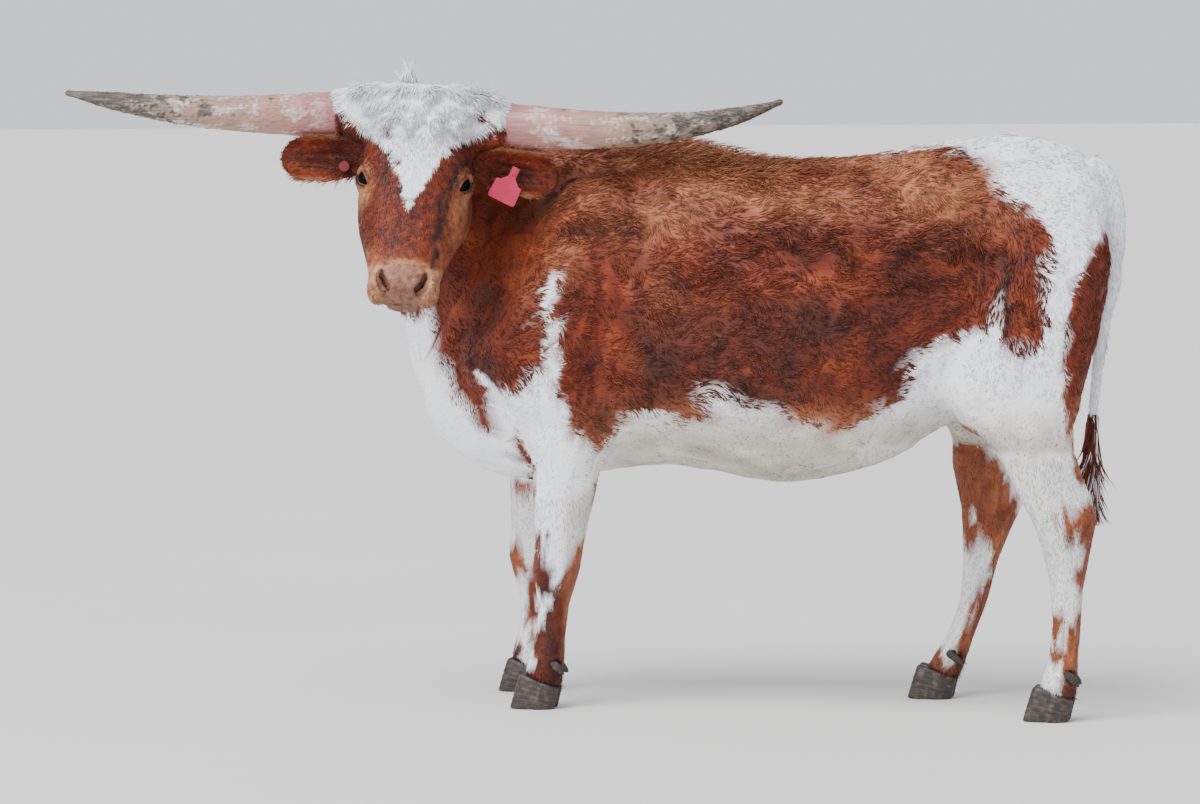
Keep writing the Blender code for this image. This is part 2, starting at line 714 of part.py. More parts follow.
def gauss(distance, width):
    """A smooth bump of height one and that half width."""
    return np.exp(-((distance / width) ** 2))


def sculpt_head(obj):
    """Moves the head's points to make the nostrils, the mouth line and the brows."""
    mesh = obj.data
    points = np.empty(len(mesh.vertices) * 3)
    mesh.vertices.foreach_get("co", points)
    h = in_head(points.reshape(-1, 3))
    s, t, n = h.T
    side = np.sign(s)
    # Nostrils: a slanted comma on each side of the nose pad, wider above, with a wing round its outside.
    place, slant, low, deep, wide, tall = NOSTRIL
    across, front = abs(s) - place - slant * (low - t), n > NOSE_FRONT
    depth = deep * gauss(across, wide) * gauss(t - low, tall) * front
    n -= depth
    t -= depth * 0.9
    high, place, low, wide, tall = NOSTRIL_WING
    wing = high * gauss(abs(s) - place, wide) * gauss(t - low, tall) * front
    s += side * wing * 0.6
    n += wing
    # Mouth line, from the front of the lips back along each cheek.
    line, slope, deep, wide, start, turn = MOUTH
    line = line - slope * np.clip(0.465 - t, 0, 0.2)
    mouth = deep * gauss(n - line, wide) * np.clip((t - start) / 0.03, 0, 1)
    s -= side * mouth * np.clip(abs(s) / 0.03, 0, 1)
    t -= mouth * np.clip((t - turn) / 0.03, 0, 1)
    # Brow ridge above each eye and a hollow behind it.
    high, place, down, wide, tall = BROW
    n += high * gauss(abs(s) - place, wide) * gauss(t - down, tall)
    mesh.vertices.foreach_set("co", on_head(np.stack([s, t, n], 1)).ravel())
    mesh.update()


def head_parts():
    """The shells that make the head: skull, jaw, orbits, poll and the roots of the horns."""
    parts = [head_loft("skull", HEAD, 2.5, 40), head_loft("jaw", JAW, 2.2, 20)]
    for side in (-1, 1):
        parts.append(head_ellipsoid("lid", (side * EYE_PLACE[0], *EYE_PLACE[1:]), (EYE_RADIUS + LID_THICK,) * 3))
        for (s, t, n), radii in (ORBIT, CHEEK, LIP):
            parts.append(head_ellipsoid("mass", (side * s, t, n), radii))
        line, thick = horn_line(side, -STALK_REACH, 0.0, 6)
        line = np.vstack([on_head((side * STALK_ROOT[0], *STALK_ROOT[1:3])), line])
        parts.append(tube("stalk", line, np.concatenate([STALK_ROOT[3:], thick * 1.06 + 0.003]), 24))
        inner, past, *stub = EAR_STUB
        ear_line = on_head([(side * inner, EAR_PLACE[0] + 0.01, EAR_PLACE[1] + 0.005),
                            (side * (EAR_ROOT + past), *EAR_PLACE)])
        parts.append(tube("ear_root", ear_line, stub, 16))
    parts.append(head_ellipsoid("poll", *POLL_MASS))
    return parts


def surface_of(obj):
    """A search tree of an object's surface."""
    return BVHTree.FromPolygons([v.co for v in obj.data.vertices], [p.vertices for p in obj.data.polygons])


def nearest(surface, place):
    """The nearest point of a surface and the way that it faces there."""
    spot, normal, _, _ = surface.find_nearest(Vector(place))
    return np.array(spot), np.array(normal)


def lock(root, normal, run, length, width, lift, surface=None):
    """One flat, tapering lock of hair with a low ridge: it leaves its root at a slant, follows the surface, if one
    is given, and ends in a point."""
    run = run - normal * (run @ normal)
    run /= np.linalg.norm(run)
    rings = []
    for share, wide, rise in LOCK_SHAPE:
        centre, out = root + run * length * share, normal
        if surface is not None:
            centre, out = nearest(surface, centre)
        across = np.cross(out, run)
        across *= width * wide / 2 / np.linalg.norm(across)
        centre = centre + out * lift * rise
        rings.append([centre + across, centre + out * width * wide * LOCK_RIDGE, centre - across])
    return loft("lock", rings)


def poll_locks(skull):
    """The long hair of the poll: locks that spread from its whorl, and the tuft that stands on it."""
    surface = surface_of(skull)
    chance = np.random.default_rng(5)
    whorl = on_head(WHORL)[0]
    made = []
    for down, out, reach, count, length in POLL_ROWS:
        for share in np.linspace(-1, 1, count):
            spot = (reach * (share + chance.uniform(-0.05, 0.05)), down + chance.uniform(-0.006, 0.006), out)
            root, normal = nearest(surface, on_head(spot)[0])
            run = root - whorl
            made.append(lock(root, normal, run, length * chance.uniform(0.85, 1.1), POLL_LOCK_WIDTH, POLL_LOCK_LIFT,
                             surface))
    root, _ = nearest(surface, on_head(TUFT_PLACE)[0])
    for left, ahead, length in TUFT:
        run = ROLL_UP + left * LEFT + ahead * AHEAD
        run /= np.linalg.norm(run)
        made.append(lock(root - run * 0.010, np.cross(run, LEFT), run, length + 0.010, *TUFT_LOCK))
    return made


def head_block(name, grow=0.0):
    """The block that holds the head, seen from behind a T: wide over the horns' roots, narrow over the muzzle.

    Its back face is the plane through the nape and the jaw's angle.
    """
    nape, jaw = Vector(on_head(NAPE)[0]), Vector(on_head(JAW_ANGLE)[0])
    down, side = (jaw - nape).normalized(), Vector(LEFT)
    out = side.cross(down).normalized()
    if out.dot(Vector(FOREHEAD)) < 0:
        side, out = -side, -out
    frame = Matrix.Translation((nape + jaw) / 2) @ Matrix((side, down, out)).transposed().to_4x4()
    wide, narrow, above, step, below, ahead = HEAD_BLOCK
    half = ((0, -above), (wide, -above), (wide, step), (narrow, step), (narrow, below), (0, below))
    outline = half[1:-1] + tuple((-x, y) for x, y in half[-2:0:-1])
    count = len(outline)
    points = [frame @ Vector((x, y, z)) for z in (-grow, ahead) for x, y in outline]
    faces = [tuple(range(count)), tuple(range(count, 2 * count))]
    faces += [(k, (k + 1) % count, (k + 1) % count + count, k + count) for k in range(count)]
    made = mesh_object(name, points, faces)
    face_outwards(made.data)
    return made


def shoulder_plane_box(name, keep_neck):
    """A big block whose face parts neck and trunk: from in front of the withers to the brisket."""
    top, bottom = (Vector(end) for end in SHOULDER_PLANE)
    down = (bottom - top).normalized()
    side = Vector((0, 1, 0))
    out = side.cross(down).normalized()
    if out.x > 0:
        out = -out
    frame = Matrix.Translation((top + bottom) / 2) @ Matrix((side, down, out)).transposed().to_4x4()
    half = GAP / 2
    if keep_neck:
        return block(name, (-1.5, -1.5, half), (1.5, 1.5, 1.5), frame)
    return block(name, (-1.5, -2.0, -3.0), (1.5, 2.0, -half), frame)


# How far from the middle a leg's block starts and ends, and where each leg stands: name, fore or hind, side,
# X range of its block.
LEG_BLOCK = (0.012, 0.45)
LEGS = (
    ("foreleg_left", True, -1, (-0.24, 0.12)),
    ("foreleg_right", True, 1, (-0.40, 0.06)),
    ("hindleg_left", False, -1, (0.80, 1.40)),
    ("hindleg_right", False, 1, (0.70, 1.15)),
)


def leg_block(name, side, reach, low, high, margin):
    """The block that holds one length of one leg, between two heights."""
    ys = sorted((side * LEG_BLOCK[0], side * LEG_BLOCK[1]))
    return block(name, (reach[0], ys[0], low + margin), (reach[1], ys[1], high - margin))


def foot_centre(fore, side):
    """X and Y of a foot's middle at the coronet."""
    stations = NEAR_FORELEG if fore else NEAR_HINDLEG
    x, y = stations[-2][0], stations[-2][1]
    if side > 0:
        x += (FAR_FORE_SHIFT if fore else FAR_HIND_SHIFT)[0][1]
        y -= FAR_FORE_IN if fore else FAR_HIND_IN
    return x, side * y


def coronet_height(x, foot_x):
    """Height of the slanted plane where hair ends and horn begins: higher at the toe."""
    return CORONET_HEIGHT - (x - foot_x) * math.tan(CORONET_SLOPE)


def coronet_block(name, foot_x, foot_y):
    """What is cut off below the coronet plane."""
    turn = Matrix.Translation((foot_x, foot_y, CORONET_HEIGHT)) @ Matrix.Rotation(CORONET_SLOPE, 4, "Y")
    return block(name, (-0.2, -0.2, -0.3), (0.2, 0.2, GAP / 2), turn)


def claw(name, foot_x, foot_y, half):
    """One claw of a cloven foot: a D-shaped sole on the floor, a steep toe wall, a low heel."""
    angle = around(14)
    ahead, across = np.cos(angle), np.sin(angle)
    rings = []
    shorter, lean, heel, inner, pinch, least = CLAW_SHAPE
    for share in np.linspace(0, 1, 3):
        swell = 1 + CLAW_SWELL[0] * math.sin(math.pi * share) - CLAW_SWELL[1] * share
        length = CLAW_LENGTH / 2 * (1 - shorter * share)
        width = CLAW_WIDTH / 2 * swell * np.where(across * half < 0, inner, 1.0)
        pull = np.where(ahead < 0, 1 - pinch * abs(across) ** 3, 1.0)
        x = foot_x - CLAW_SET_BACK + lean * share + length * ahead * np.where(ahead < 0, 1.0, heel)
        y = foot_y + half * (CLAW_WIDTH * CLAW_MIDDLE + CLAW_SPREAD / 2) + width * across * pull
        top = coronet_height(x, foot_x) - GAP / 2 / math.cos(CORONET_SLOPE)
        rings.append(np.stack([x, y, np.maximum(top, least) * share], 1))
    return loft(name, rings)


def dewclaw(name, foot_x, foot_y, half, grow=0.0):
    """A small blunt cone behind the fetlock."""
    start, end = (np.array([foot_x + back, foot_y + half * aside, height])
                  for back, aside, height in (DEWCLAW_ROOT, DEWCLAW_TIP))
    line = between([start - (end - start) * (grow / 0.05), (start + end) / 2, end], len(DEWCLAW_THICK))
    return tube(name, line, DEWCLAW_THICK, 8, grow)


def tail_path():
    """The whole tail's middle line, half thickness and direction, at even steps between the rows of its table."""
    rows = between(TAIL, (len(TAIL) - 1) * TAIL_STEP + 1)
    line = np.stack([rows[:, 0], np.zeros(len(rows)), rows[:, 1]], 1)
    run = np.gradient(line, axis=0)
    return line, rows[:, 2], run / np.linalg.norm(run, axis=1)[:, None]


def tail(name, grow=0.0):
    """The dock: a tapering tube that falls from the rump."""
    line, thick, run = (part[: SWITCH_START * TAIL_STEP + 1].copy() for part in tail_path())
    line[0] -= run[0] * grow
    line[-1] += run[-1] * grow
    return tube(name, line, thick, 12, grow, lean=(1, 0, 0), run=run)


def switch_core(name):
    """What the switch's locks grow from: it starts square on the end of the dock and ends in a point."""
    thickest, end = SWITCH_CORE
    line, thick, run = (part[SWITCH_START * TAIL_STEP:].copy() for part in tail_path())
    line[0] += run[0] * GAP
    kept = line[:, 2] > end
    thick = np.minimum(thick[kept], thickest)
    thick[-1] *= 0.3
    return tube(name, line[kept], thick, 12, lean=(1, 0, 0), run=run[kept])


def switch_locks():
    """The locks of the switch, ring over ring, each hanging from the core to its own tip."""
    chance = np.random.default_rng(11)
    line, _, _ = tail_path()
    rings, first, step = SWITCH_RINGS
    made = []
    for ring in range(rings):
        height = first - step * ring
        centre = np.array([np.interp(-height, -line[:, 2], line[:, 0]), 0.0, height])
        for k in range(SWITCH_RING_LOCKS):
            angle = 2 * math.pi * (k + 0.5 * (ring % 2)) / SWITCH_RING_LOCKS
            normal = np.array([math.cos(angle), math.sin(angle), 0.0])
            root = centre + normal * SWITCH_CORE[0] * 0.8
            fall = np.array([0.0, 0.0, -1.0])
            length, width, lift = SWITCH_LOCK
            lift += SWITCH_SPREAD * (rings - 1 - ring)
            made.append(lock(root, normal, fall, length * chance.uniform(0.8, 1.05), width, lift))
    return made


def tag_frame():
    """The ear tag's own frame: left, up and towards the front, tilted a little, in front of the ear's middle."""
    centre = on_head((TAG_PLACE, *EAR_PLACE))[0] + AHEAD * TAG_AHEAD
    spin = Matrix.Rotation(TAG_TILT, 3, Vector(AHEAD))
    across, up = spin @ Vector(LEFT), spin @ Vector(ROLL_UP)
    return Matrix.Translation(centre) @ Matrix((across, up, Vector(AHEAD))).transposed().to_4x4()


def ear_tag(name):
    """A flexible tag: a plate with round corners that narrows to a neck where its stud holds it."""
    half, neck_half = TAG_WIDTH / 2, TAG_NECK / 2
    corner = TAG_CORNER
    right = [(neck_half, TAG_TOP), (neck_half, -TAG_DROP * 0.55), (half - TAG_SHOULDER, -TAG_DROP)]
    for angle in np.linspace(math.pi / 2, -math.pi / 2, 5):
        rise = -TAG_DROP - corner if angle > 0 else -TAG_DROP - TAG_HEIGHT + corner
        right.append((half - corner + corner * math.cos(angle), rise + corner * math.sin(angle)))
    outline = right + [(-x, y) for x, y in right[::-1]]
    count = len(outline)
    frame = tag_frame()
    points = [frame @ Vector((x, y, z)) for z in (0.0, TAG_THICK) for x, y in outline]
    faces = [tuple(range(count)), tuple(range(count, 2 * count))]
    faces += [(k, (k + 1) % count, (k + 1) % count + count, k + count) for k in range(count)]
    made = mesh_object(name, points, faces)
    face_outwards(made.data)
    return made


def disc(name, frame, low, high, radius):
    """A short round bar along a frame's third axis."""
    angle = around(12)
    ring = np.stack([radius * np.cos(angle), radius * np.sin(angle)], 1)
    rings = [[tuple(frame @ Vector((x, y, z))) for x, y in ring] for z in (low, high)]
    return loft(name, rings)


def tag_pieces():
    """The tag on the left ear, the stud that reaches it from the ear, its button, and the button on the right ear."""
    frame = tag_frame()
    pieces = [(ear_tag("tag"), "ear_tag")]
    stud = disc("stud", frame, -TAG_AHEAD - 0.010, -GAP, STUD_RADIUS)
    cut(stud, "DIFFERENCE", [ear("grown", 1, 2 * GAP)])
    pieces.append((largest_shell(stud), "ear_tag_stud"))
    radius, thick = TAG_BUTTON
    pieces.append((disc("button", frame, TAG_THICK + GAP, TAG_THICK + thick, radius), "ear_tag_button"))
    place = on_head((-BUTTON_PLACE[0], BUTTON_PLACE[1], EAR_PLACE[1]))[0]
    frame = Matrix.Translation(place) @ Matrix((Vector(LEFT), Vector(ROLL_UP), Vector(AHEAD))).transposed().to_4x4()
    button = disc("button", frame, -0.004, BUTTON_PLACE[2], RIGHT_BUTTON_RADIUS)
    cut(button, "DIFFERENCE", [ear("grown", -1, 2 * GAP)])
    pieces.append((largest_shell(button), "ear_button_right"))
    return pieces


def finish(obj, name, material, smooth=True):
    """Names a finished solid and gives it its material and shading."""
    obj.name = name
    obj.data.name = name
    obj.data.materials.clear()
    obj.data.materials.append(material)
    if smooth:
        obj.data.shade_smooth()
        obj.data.set_sharp_from_angle(angle=math.radians(50))
    return obj


def paint(name, colour, roughness):
    """A plain material."""
    made = bpy.data.materials.new(name)
    made.use_nodes = True
    shader = made.node_tree.nodes["Principled BSDF"]
    shader.inputs["Base Color"].default_value = (*colour, 1.0)
    shader.inputs["Roughness"].default_value = roughness
    return made


def build():
    """Makes every part of the animal."""
    for old in list(bpy.data.objects):
        bpy.data.objects.remove(old)
    coat, horny, hoof_dark, eye_dark, tag_pink, button_red = (paint(*finish_row) for finish_row in FINISHES)

    # The whole body as one surface.
    shells = [trunk(), neck()]
    for name, fore, side, _ in LEGS:
        table = NEAR_FORELEG if fore else NEAR_HINDLEG
        far = side > 0
        shift = (FAR_FORE_SHIFT if fore else FAR_HIND_SHIFT) if far else None
        shells.append(leg(name, table, side, shift, (FAR_FORE_IN if fore else FAR_HIND_IN) if far else 0.0))
    for side in (-1, 1):
        shells += muscles(side)
    shells += brisket() + head_parts()
    body = thinned(fused(joined("body", shells), BODY_VOXEL, BODY_SMOOTHING), BODY_TRIANGLES)

    # The head is made again, finer, with the top of the neck that it grows from.
    skull = fused(joined("skull", head_parts() + [neck()]), HEAD_VOXEL, HEAD_SMOOTHING)
    sculpt_head(skull)
    thinned(skull, HEAD_TRIANGLES)
    united(skull, poll_locks(skull))
    skull = cut(skull, "INTERSECT", [head_block("keep")])
    largest_shell(skull)
    for side in (-1, 1):
        skull = cut(skull, "DIFFERENCE", [lid_opening("opening", side), eye_ball("grown", side, GAP)])
        skull = cut(skull, "DIFFERENCE", [horn("grown", side, GAP)])
        skull = cut(skull, "DIFFERENCE", [ear("grown", side, GAP)])
    finish(largest_shell(skull), "head", coat)
    for side, word in ((-1, "right"), (1, "left")):
        finish(eye_ball("eye", side), f"eye_{word}", eye_dark)
        finish(horn("horn", side), f"horn_{word}", horny)
        finish(ear("ear", side), f"ear_{word}", coat)

    for piece, name in tag_pieces():
        finish(piece, name, tag_pink if name != "ear_button_right" else button_red)

    # Neck and trunk.
    body = cut(body, "DIFFERENCE", [head_block("away", GAP)])
    largest_shell(body)
    throat = cut(copy_of(body, "neck"), "INTERSECT", [shoulder_plane_box("keep", True)])
    finish(largest_shell(throat), "neck", coat)
    body = cut(body, "INTERSECT", [shoulder_plane_box("keep", False)])

    # Each leg in two lengths, then what is left of the body is the trunk.
    for name, fore, side, reach in LEGS:
        top, joint = (ELBOW_CUT, KNEE_CUT) if fore else (STIFLE_CUT, HOCK_CUT)
        foot_x, foot_y = foot_centre(fore, side)
        upper = copy_of(body, name)
        cut(upper, "INTERSECT", [leg_block("keep", side, reach, joint, top, GAP / 2)])
        finish(largest_shell(upper), name + "_upper", coat)
        lower = copy_of(body, name)
        cut(lower, "INTERSECT", [leg_block("keep", side, reach, -0.1, joint, GAP / 2)])
        cut(lower, "DIFFERENCE", [coronet_block("below", foot_x, foot_y)])
        for half, which in ((-1, "a"), (1, "b")):
            cut(lower, "DIFFERENCE", [dewclaw("grown", foot_x, foot_y, half, GAP)])
            finish(dewclaw("dewclaw", foot_x, foot_y, half), f"dewclaw_{name}_{which}", hoof_dark)
            finish(claw("claw", foot_x, foot_y, half), f"hoof_{name}_{which}", hoof_dark)
        finish(largest_shell(lower), name + "_lower", coat)
        cut(body, "DIFFERENCE", [leg_block("away", side, reach, -0.1, top, -GAP / 2)])
    cut(body, "DIFFERENCE", [tail("grown", GAP)])
    finish(largest_shell(body), "torso", coat)
    finish(tail("tail"), "tail", coat)
    finish(united(switch_core("switch"), switch_locks()), "tail_switch", coat)
    settle()


def settle():
    """Moves everything so that the bounding box's bottom centre is the origin."""
    made = [o for o in bpy.data.objects if o.type == "MESH"]
    corners = np.vstack([np.array([v.co for v in o.data.vertices]) for o in made])
    low, high = corners.min(0), corners.max(0)
    shift = Vector((-(low[0] + high[0]) / 2, -(low[1] + high[1]) / 2, -low[2]))
    for obj in made:
        obj.data.transform(Matrix.Translation(shift))


build()
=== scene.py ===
"""Looks of a life-size texas longhorn: hide, winter coat, horns, hooves, eyes, ear tag, studio and camera.

Everything is in metres in the frame of the solids: the head end is at -X, the animal's left side at -Y, +Z is up.
"""

import json
import math

import bmesh
import bpy
import numpy as np
from mathutils import Matrix, Vector

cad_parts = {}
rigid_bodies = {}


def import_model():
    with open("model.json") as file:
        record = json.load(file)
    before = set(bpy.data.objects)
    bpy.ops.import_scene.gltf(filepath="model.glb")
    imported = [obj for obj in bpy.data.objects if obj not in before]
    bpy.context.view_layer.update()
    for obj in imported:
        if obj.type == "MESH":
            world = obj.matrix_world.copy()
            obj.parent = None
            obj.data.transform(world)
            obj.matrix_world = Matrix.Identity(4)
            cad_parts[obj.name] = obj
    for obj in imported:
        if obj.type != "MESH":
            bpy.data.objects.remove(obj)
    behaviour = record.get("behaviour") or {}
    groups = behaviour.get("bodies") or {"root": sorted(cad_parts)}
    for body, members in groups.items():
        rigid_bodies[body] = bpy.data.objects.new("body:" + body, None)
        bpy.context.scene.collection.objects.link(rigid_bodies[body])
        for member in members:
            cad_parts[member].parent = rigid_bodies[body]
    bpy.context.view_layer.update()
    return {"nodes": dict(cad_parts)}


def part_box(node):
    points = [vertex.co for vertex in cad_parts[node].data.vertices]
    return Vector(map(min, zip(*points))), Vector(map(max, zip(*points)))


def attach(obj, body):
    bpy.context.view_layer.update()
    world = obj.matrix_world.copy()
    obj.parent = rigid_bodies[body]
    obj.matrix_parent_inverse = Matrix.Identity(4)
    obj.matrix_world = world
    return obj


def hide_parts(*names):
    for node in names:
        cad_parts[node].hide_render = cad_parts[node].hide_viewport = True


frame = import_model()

# The camera: how far round it stands from square to the animal's left side, its distance and its height above the
# floor, the picture's columns and the real size of one at that distance, its roll, and how many rows under the
# picture's middle the floor below the animal lies, which sets the tilt.
VIEW_TURN = math.radians(12.0)
VIEW_DISTANCE = 12.0
VIEW_HEIGHT = 1.5
COLUMNS = 1200
COLUMN = 0.002294
VIEW_ROLL = math.radians(0.3)
FLOOR_ROWS = 298
LOOK_DOWN = math.atan(VIEW_HEIGHT / VIEW_DISTANCE) - math.atan(FLOOR_ROWS * COLUMN / VIEW_DISTANCE)
# The solids are centred on the floor, which moved the body's own frame by this much. MIDLINE is the body's middle.
SHIFT = np.array([-0.0292, 0.0955, 0.0])
MIDLINE = SHIFT[1]

# The head's frame, as the solids have it. Its origin is the poll, the top of the head between the horns.
HEAD_ORIGIN = np.array([-0.347, -0.275, 1.406]) + SHIFT
HEAD_TURN = math.radians(9.5)
HEAD_PITCH = math.radians(63.0)
HEAD_ROLL = math.radians(4.5)
AHEAD = np.array([math.sin(HEAD_TURN), -math.cos(HEAD_TURN), 0.0])
SIDEWAYS = np.array([math.cos(HEAD_TURN), math.sin(HEAD_TURN), 0.0])
UP = np.array([0.0, 0.0, 1.0])
ROLL_UP = UP * math.cos(HEAD_ROLL) + SIDEWAYS * math.sin(HEAD_ROLL)
LEFT = SIDEWAYS * math.cos(HEAD_ROLL) - UP * math.sin(HEAD_ROLL)
DOWN_FACE = AHEAD * math.cos(HEAD_PITCH) - ROLL_UP * math.sin(HEAD_PITCH)
FOREHEAD = AHEAD * math.sin(HEAD_PITCH) + ROLL_UP * math.cos(HEAD_PITCH)
HEAD_AXES = np.stack([LEFT, DOWN_FACE, FOREHEAD])
# Two points of the plane that parts the head from the neck, in head coordinates: left, down the face, out of it.
NAPE = np.array([0.0, -0.010, -0.150])
JAW_ANGLE = np.array([0.0, 0.245, -0.232])
# The point from which the hair of the poll and face runs out, and the left eye's middle, both in head coordinates.
WHORL = np.array([-0.018, -0.075, 0.03])
EYE_PLACE = (0.1080, 0.202, -0.052)
EYE_RADIUS = 0.0185

# The skin: voxel size, how far each solid is grown to close the gaps between them, its triangles before the ears
# and the finer face are added, how often it is smoothed, how much of each move is undone, and how often the poll is
# smoothed once more.
VOXEL = 0.005
CLOSE_GAP = 0.0006
SKIN_TRIANGLES = 78000
SMOOTH_ROUNDS = 26
SMOOTH_BACK = 0.52
POLL_ROUNDS = 34

# The switch's core under its locks: height, X and half thickness, in the body's own frame.
SWITCH_CORE = ((0.675, 1.1365, 0.016), (0.620, 1.133, 0.0165), (0.560, 1.130, 0.015), (0.500, 1.129, 0.006))

# The horns: root and tip from the middle of the head, their place down the face and out of it, and for the left (1)
# and right (-1) the rise to the tip, the droop half way and the half thickness at the root, all in metres.
HORN_ROOT, HORN_TIP = 0.196, 0.812
HORN_PLACE = (0.034, -0.080)
HORN_LINES = {1: (0.105, -0.006, 0.0545), -1: (0.004, 0.016, 0.0525)}

# Claws and dewclaws: a claw's half length and half width, its place beside the foot's middle, how far it leans back,
# its toe before the foot's middle, the coronet's height and slope; a dewclaw's root and tip from the foot's middle,
# and its half thickness.
CLAW_LENGTH, CLAW_WIDTH, CLAW_APART, CLAW_LEAN = 0.0553, 0.0231, 0.0199, 0.018
TOE_AHEAD = 0.076
CORONET_HEIGHT, CORONET_SLOPE = 0.064, math.radians(20.0)
DEWCLAW_ROOT, DEWCLAW_TIP, DEWCLAW_THICK = (0.020, 0.019, 0.108), (0.052, 0.025, 0.086), 0.0125

# The solids that the skin stands for.
FLESH = [name for name in frame["nodes"] if name in ("torso", "neck", "head", "tail", "tail_switch",
         "ear_left", "ear_right") or name.startswith(("foreleg_", "hindleg_"))]

# The ears: where they start and end from the middle of the head (right tip, left tip), how far the root runs on
# inside the head, their place on it, their half width, and how far their line sags to the tip.
EAR_ROOT = 0.098
EAR_BURIED = 0.012
EAR_SAG = 0.010
EAR_TIPS = (0.312, 0.316)
EAR_PLACE = (0.130, -0.105)
EAR_HALF_WIDTH = 0.051

# Widths of the neck's folds on the near and the far side, in centimetres.
FOLD_WIDTH, FAR_FOLD_WIDTH = 3.4, 4.2

# The opening between the lids: which way the left eye looks, the way its corners lie, its half length and height.
LOOK = np.array([0.66, 0.28, 0.70])
LID_RUN = np.array([-0.48, 0.86, 0.16])
LID_OPENING = (0.0165, 0.0112)

# The nostrils on the animal's left, as points down the face: distance from the middle, down, and half width of
# the slit that runs in, and then of the hollow outside it.
NOSTRIL_SLIT = ((0.0500, 0.4370, 0.0024), (0.0468, 0.4480, 0.0036), (0.0395, 0.4600, 0.0036),
                (0.0310, 0.4725, 0.0026))
NOSTRIL_BOWL = ((0.0550, 0.4400, 0.0050), (0.0555, 0.4550, 0.0070), (0.0485, 0.4690, 0.0062),
                (0.0345, 0.4790, 0.0040))

# Outlines of the markings as seen from the camera's side, in centimetres right of and above the picture's
# middle at the animal's distance. Inside them the coat is red, and white everywhere else.
NECK_AND_SIDE = (
    (-11.5, 29.8), (-10.8, 28.4), (-10.8, 21.6), (-9.6, 14.9), (-9.6, 8.3), (-10.3, 1.4), (-7.3, -1.1),
    (-7.3, -4.6), (-5.7, -7.3), (-0.9, -11.2), (0.9, -10.1), (3.0, -6.7), (5.7, -3.9), (7.1, -1.8),
    (11.0, -1.1), (14.2, -2.5), (15.1, -4.6), (17.9, -5.3), (20.0, -3.7), (23.2, -3.7), (25.0, -1.6),
    (25.9, 1.8), (27.3, 1.1), (30.7, -0.5), (34.6, -1.8), (36.0, -0.9), (39.5, -0.9), (40.8, -3.0),
    (44.7, -3.9), (46.1, -5.3), (51.4, -7.3), (56.2, -6.9), (64.2, -2.3), (68.8, -0.2), (70.7, 3.9),
    (71.3, 8.5), (70.7, 10.6), (74.8, 11.7), (76.8, 15.1), (81.7, 14.5), (83.5, 15.6), (86.9, 14.9),
    (88.3, 17.2), (89.9, 18.8), (91.1, 18.6), (92.2, 14.9), (94.1, 12.6), (97.0, 11.7), (99.3, 12.4),
    (101.6, 13.8), (102.8, 17.9), (102.8, 23.6), (103.2, 29.6), (103.7, 34.9), (102.3, 39.5), (100.5, 43.1),
    (97.0, 45.4), (93.6, 47.7), (88.8, 51.8), (86.3, 55.1), (83.5, 57.4), (78.9, 58.7), (70.0, 57.4),
    (64.2, 56.4), (61.5, 69.3), (-27.5, 83.0), (-61.9, 83.0), (-61.9, 19.7), (-39.5, 19.7), (-37.4, 9.6),
    (-36.5, 6.4), (-34.2, 5.0), (-33.7, 0.7), (-30.7, -2.3), (-28.0, -6.4), (-25.0, -7.8), (-25.7, -3.7),
    (-25.9, 0.9), (-27.3, 5.0), (-28.0, 7.3), (-23.4, 3.7), (-20.6, 2.1), (-17.9, 3.7), (-15.1, 6.4),
    (-13.5, 9.6), (-13.3, 13.1), (-13.5, 17.2), (-14.2, 21.1), (-13.3, 25.9),
)
ELBOW_SPOT = (
    (-1.6, -19.0), (0.7, -16.3), (0.2, -20.2), (-1.4, -22.9),
)
CHEST_STRIP = (
    (-18.8, -6.7), (-17.9, -8.7), (-15.1, -15.6), (-15.4, -19.7), (-15.8, -23.2), (-16.7, -21.8),
    (-20.2, -19.5), (-20.6, -17.9), (-17.0, -17.9), (-17.0, -13.3), (-18.6, -9.9),
)
NEAR_KNEE_BACK = (
    (-3.7, -31.2), (-6.2, -34.2), (-6.4, -35.8), (-9.4, -40.8), (-9.2, -44.3), (-11.9, -45.4), (-12.4, -48.4),
    (-14.9, -53.0), (-15.4, -55.1), (-14.7, -59.6), (-14.7, -71.1), (-5.7, -71.1), (-5.7, -54.6), (-4.6, -45.4),
    (-1.8, -38.5), (-1.8, -31.2),
)
NEAR_KNEE_BLOT = (
    (-15.4, -36.7), (-13.8, -35.3), (-11.7, -39.0), (-10.8, -43.1), (-11.7, -45.0), (-13.5, -44.0),
    (-15.4, -43.1),
)
NEAR_FETLOCK = (
    (-18.8, -60.8), (-13.8, -60.6), (-11.0, -68.4), (-11.0, -71.8), (-18.8, -71.8),
)
FAR_KNEE = (
    (-22.9, -31.9), (-19.0, -32.1), (-17.9, -34.2), (-16.5, -36.7), (-16.3, -38.8), (-18.4, -39.2),
    (-19.3, -41.8), (-21.3, -36.7), (-22.9, -35.1),
)
FAR_KNEE_BACK = (
    (-17.0, -39.9), (-15.4, -40.8), (-14.7, -47.9), (-15.6, -53.0), (-16.5, -55.5), (-17.0, -50.0),
    (-16.5, -45.0),
)
FAR_FETLOCK = (
    (-21.8, -55.1), (-18.4, -55.5), (-18.1, -63.3), (-18.1, -71.8), (-27.5, -71.8), (-25.2, -63.8),
    (-21.8, -60.1),
)
NEAR_THIGH_BACK = (
    (116.3, 41.3), (118.4, 40.6), (118.4, 23.4), (117.9, 7.3), (115.2, 0.5), (111.0, -7.3), (109.9, -14.9),
    (111.0, -18.4), (109.4, -17.9), (108.3, -10.1), (106.4, -4.1), (105.8, 7.3), (106.2, 16.5), (107.8, 23.4),
    (111.3, 31.4), (114.7, 38.3),
)
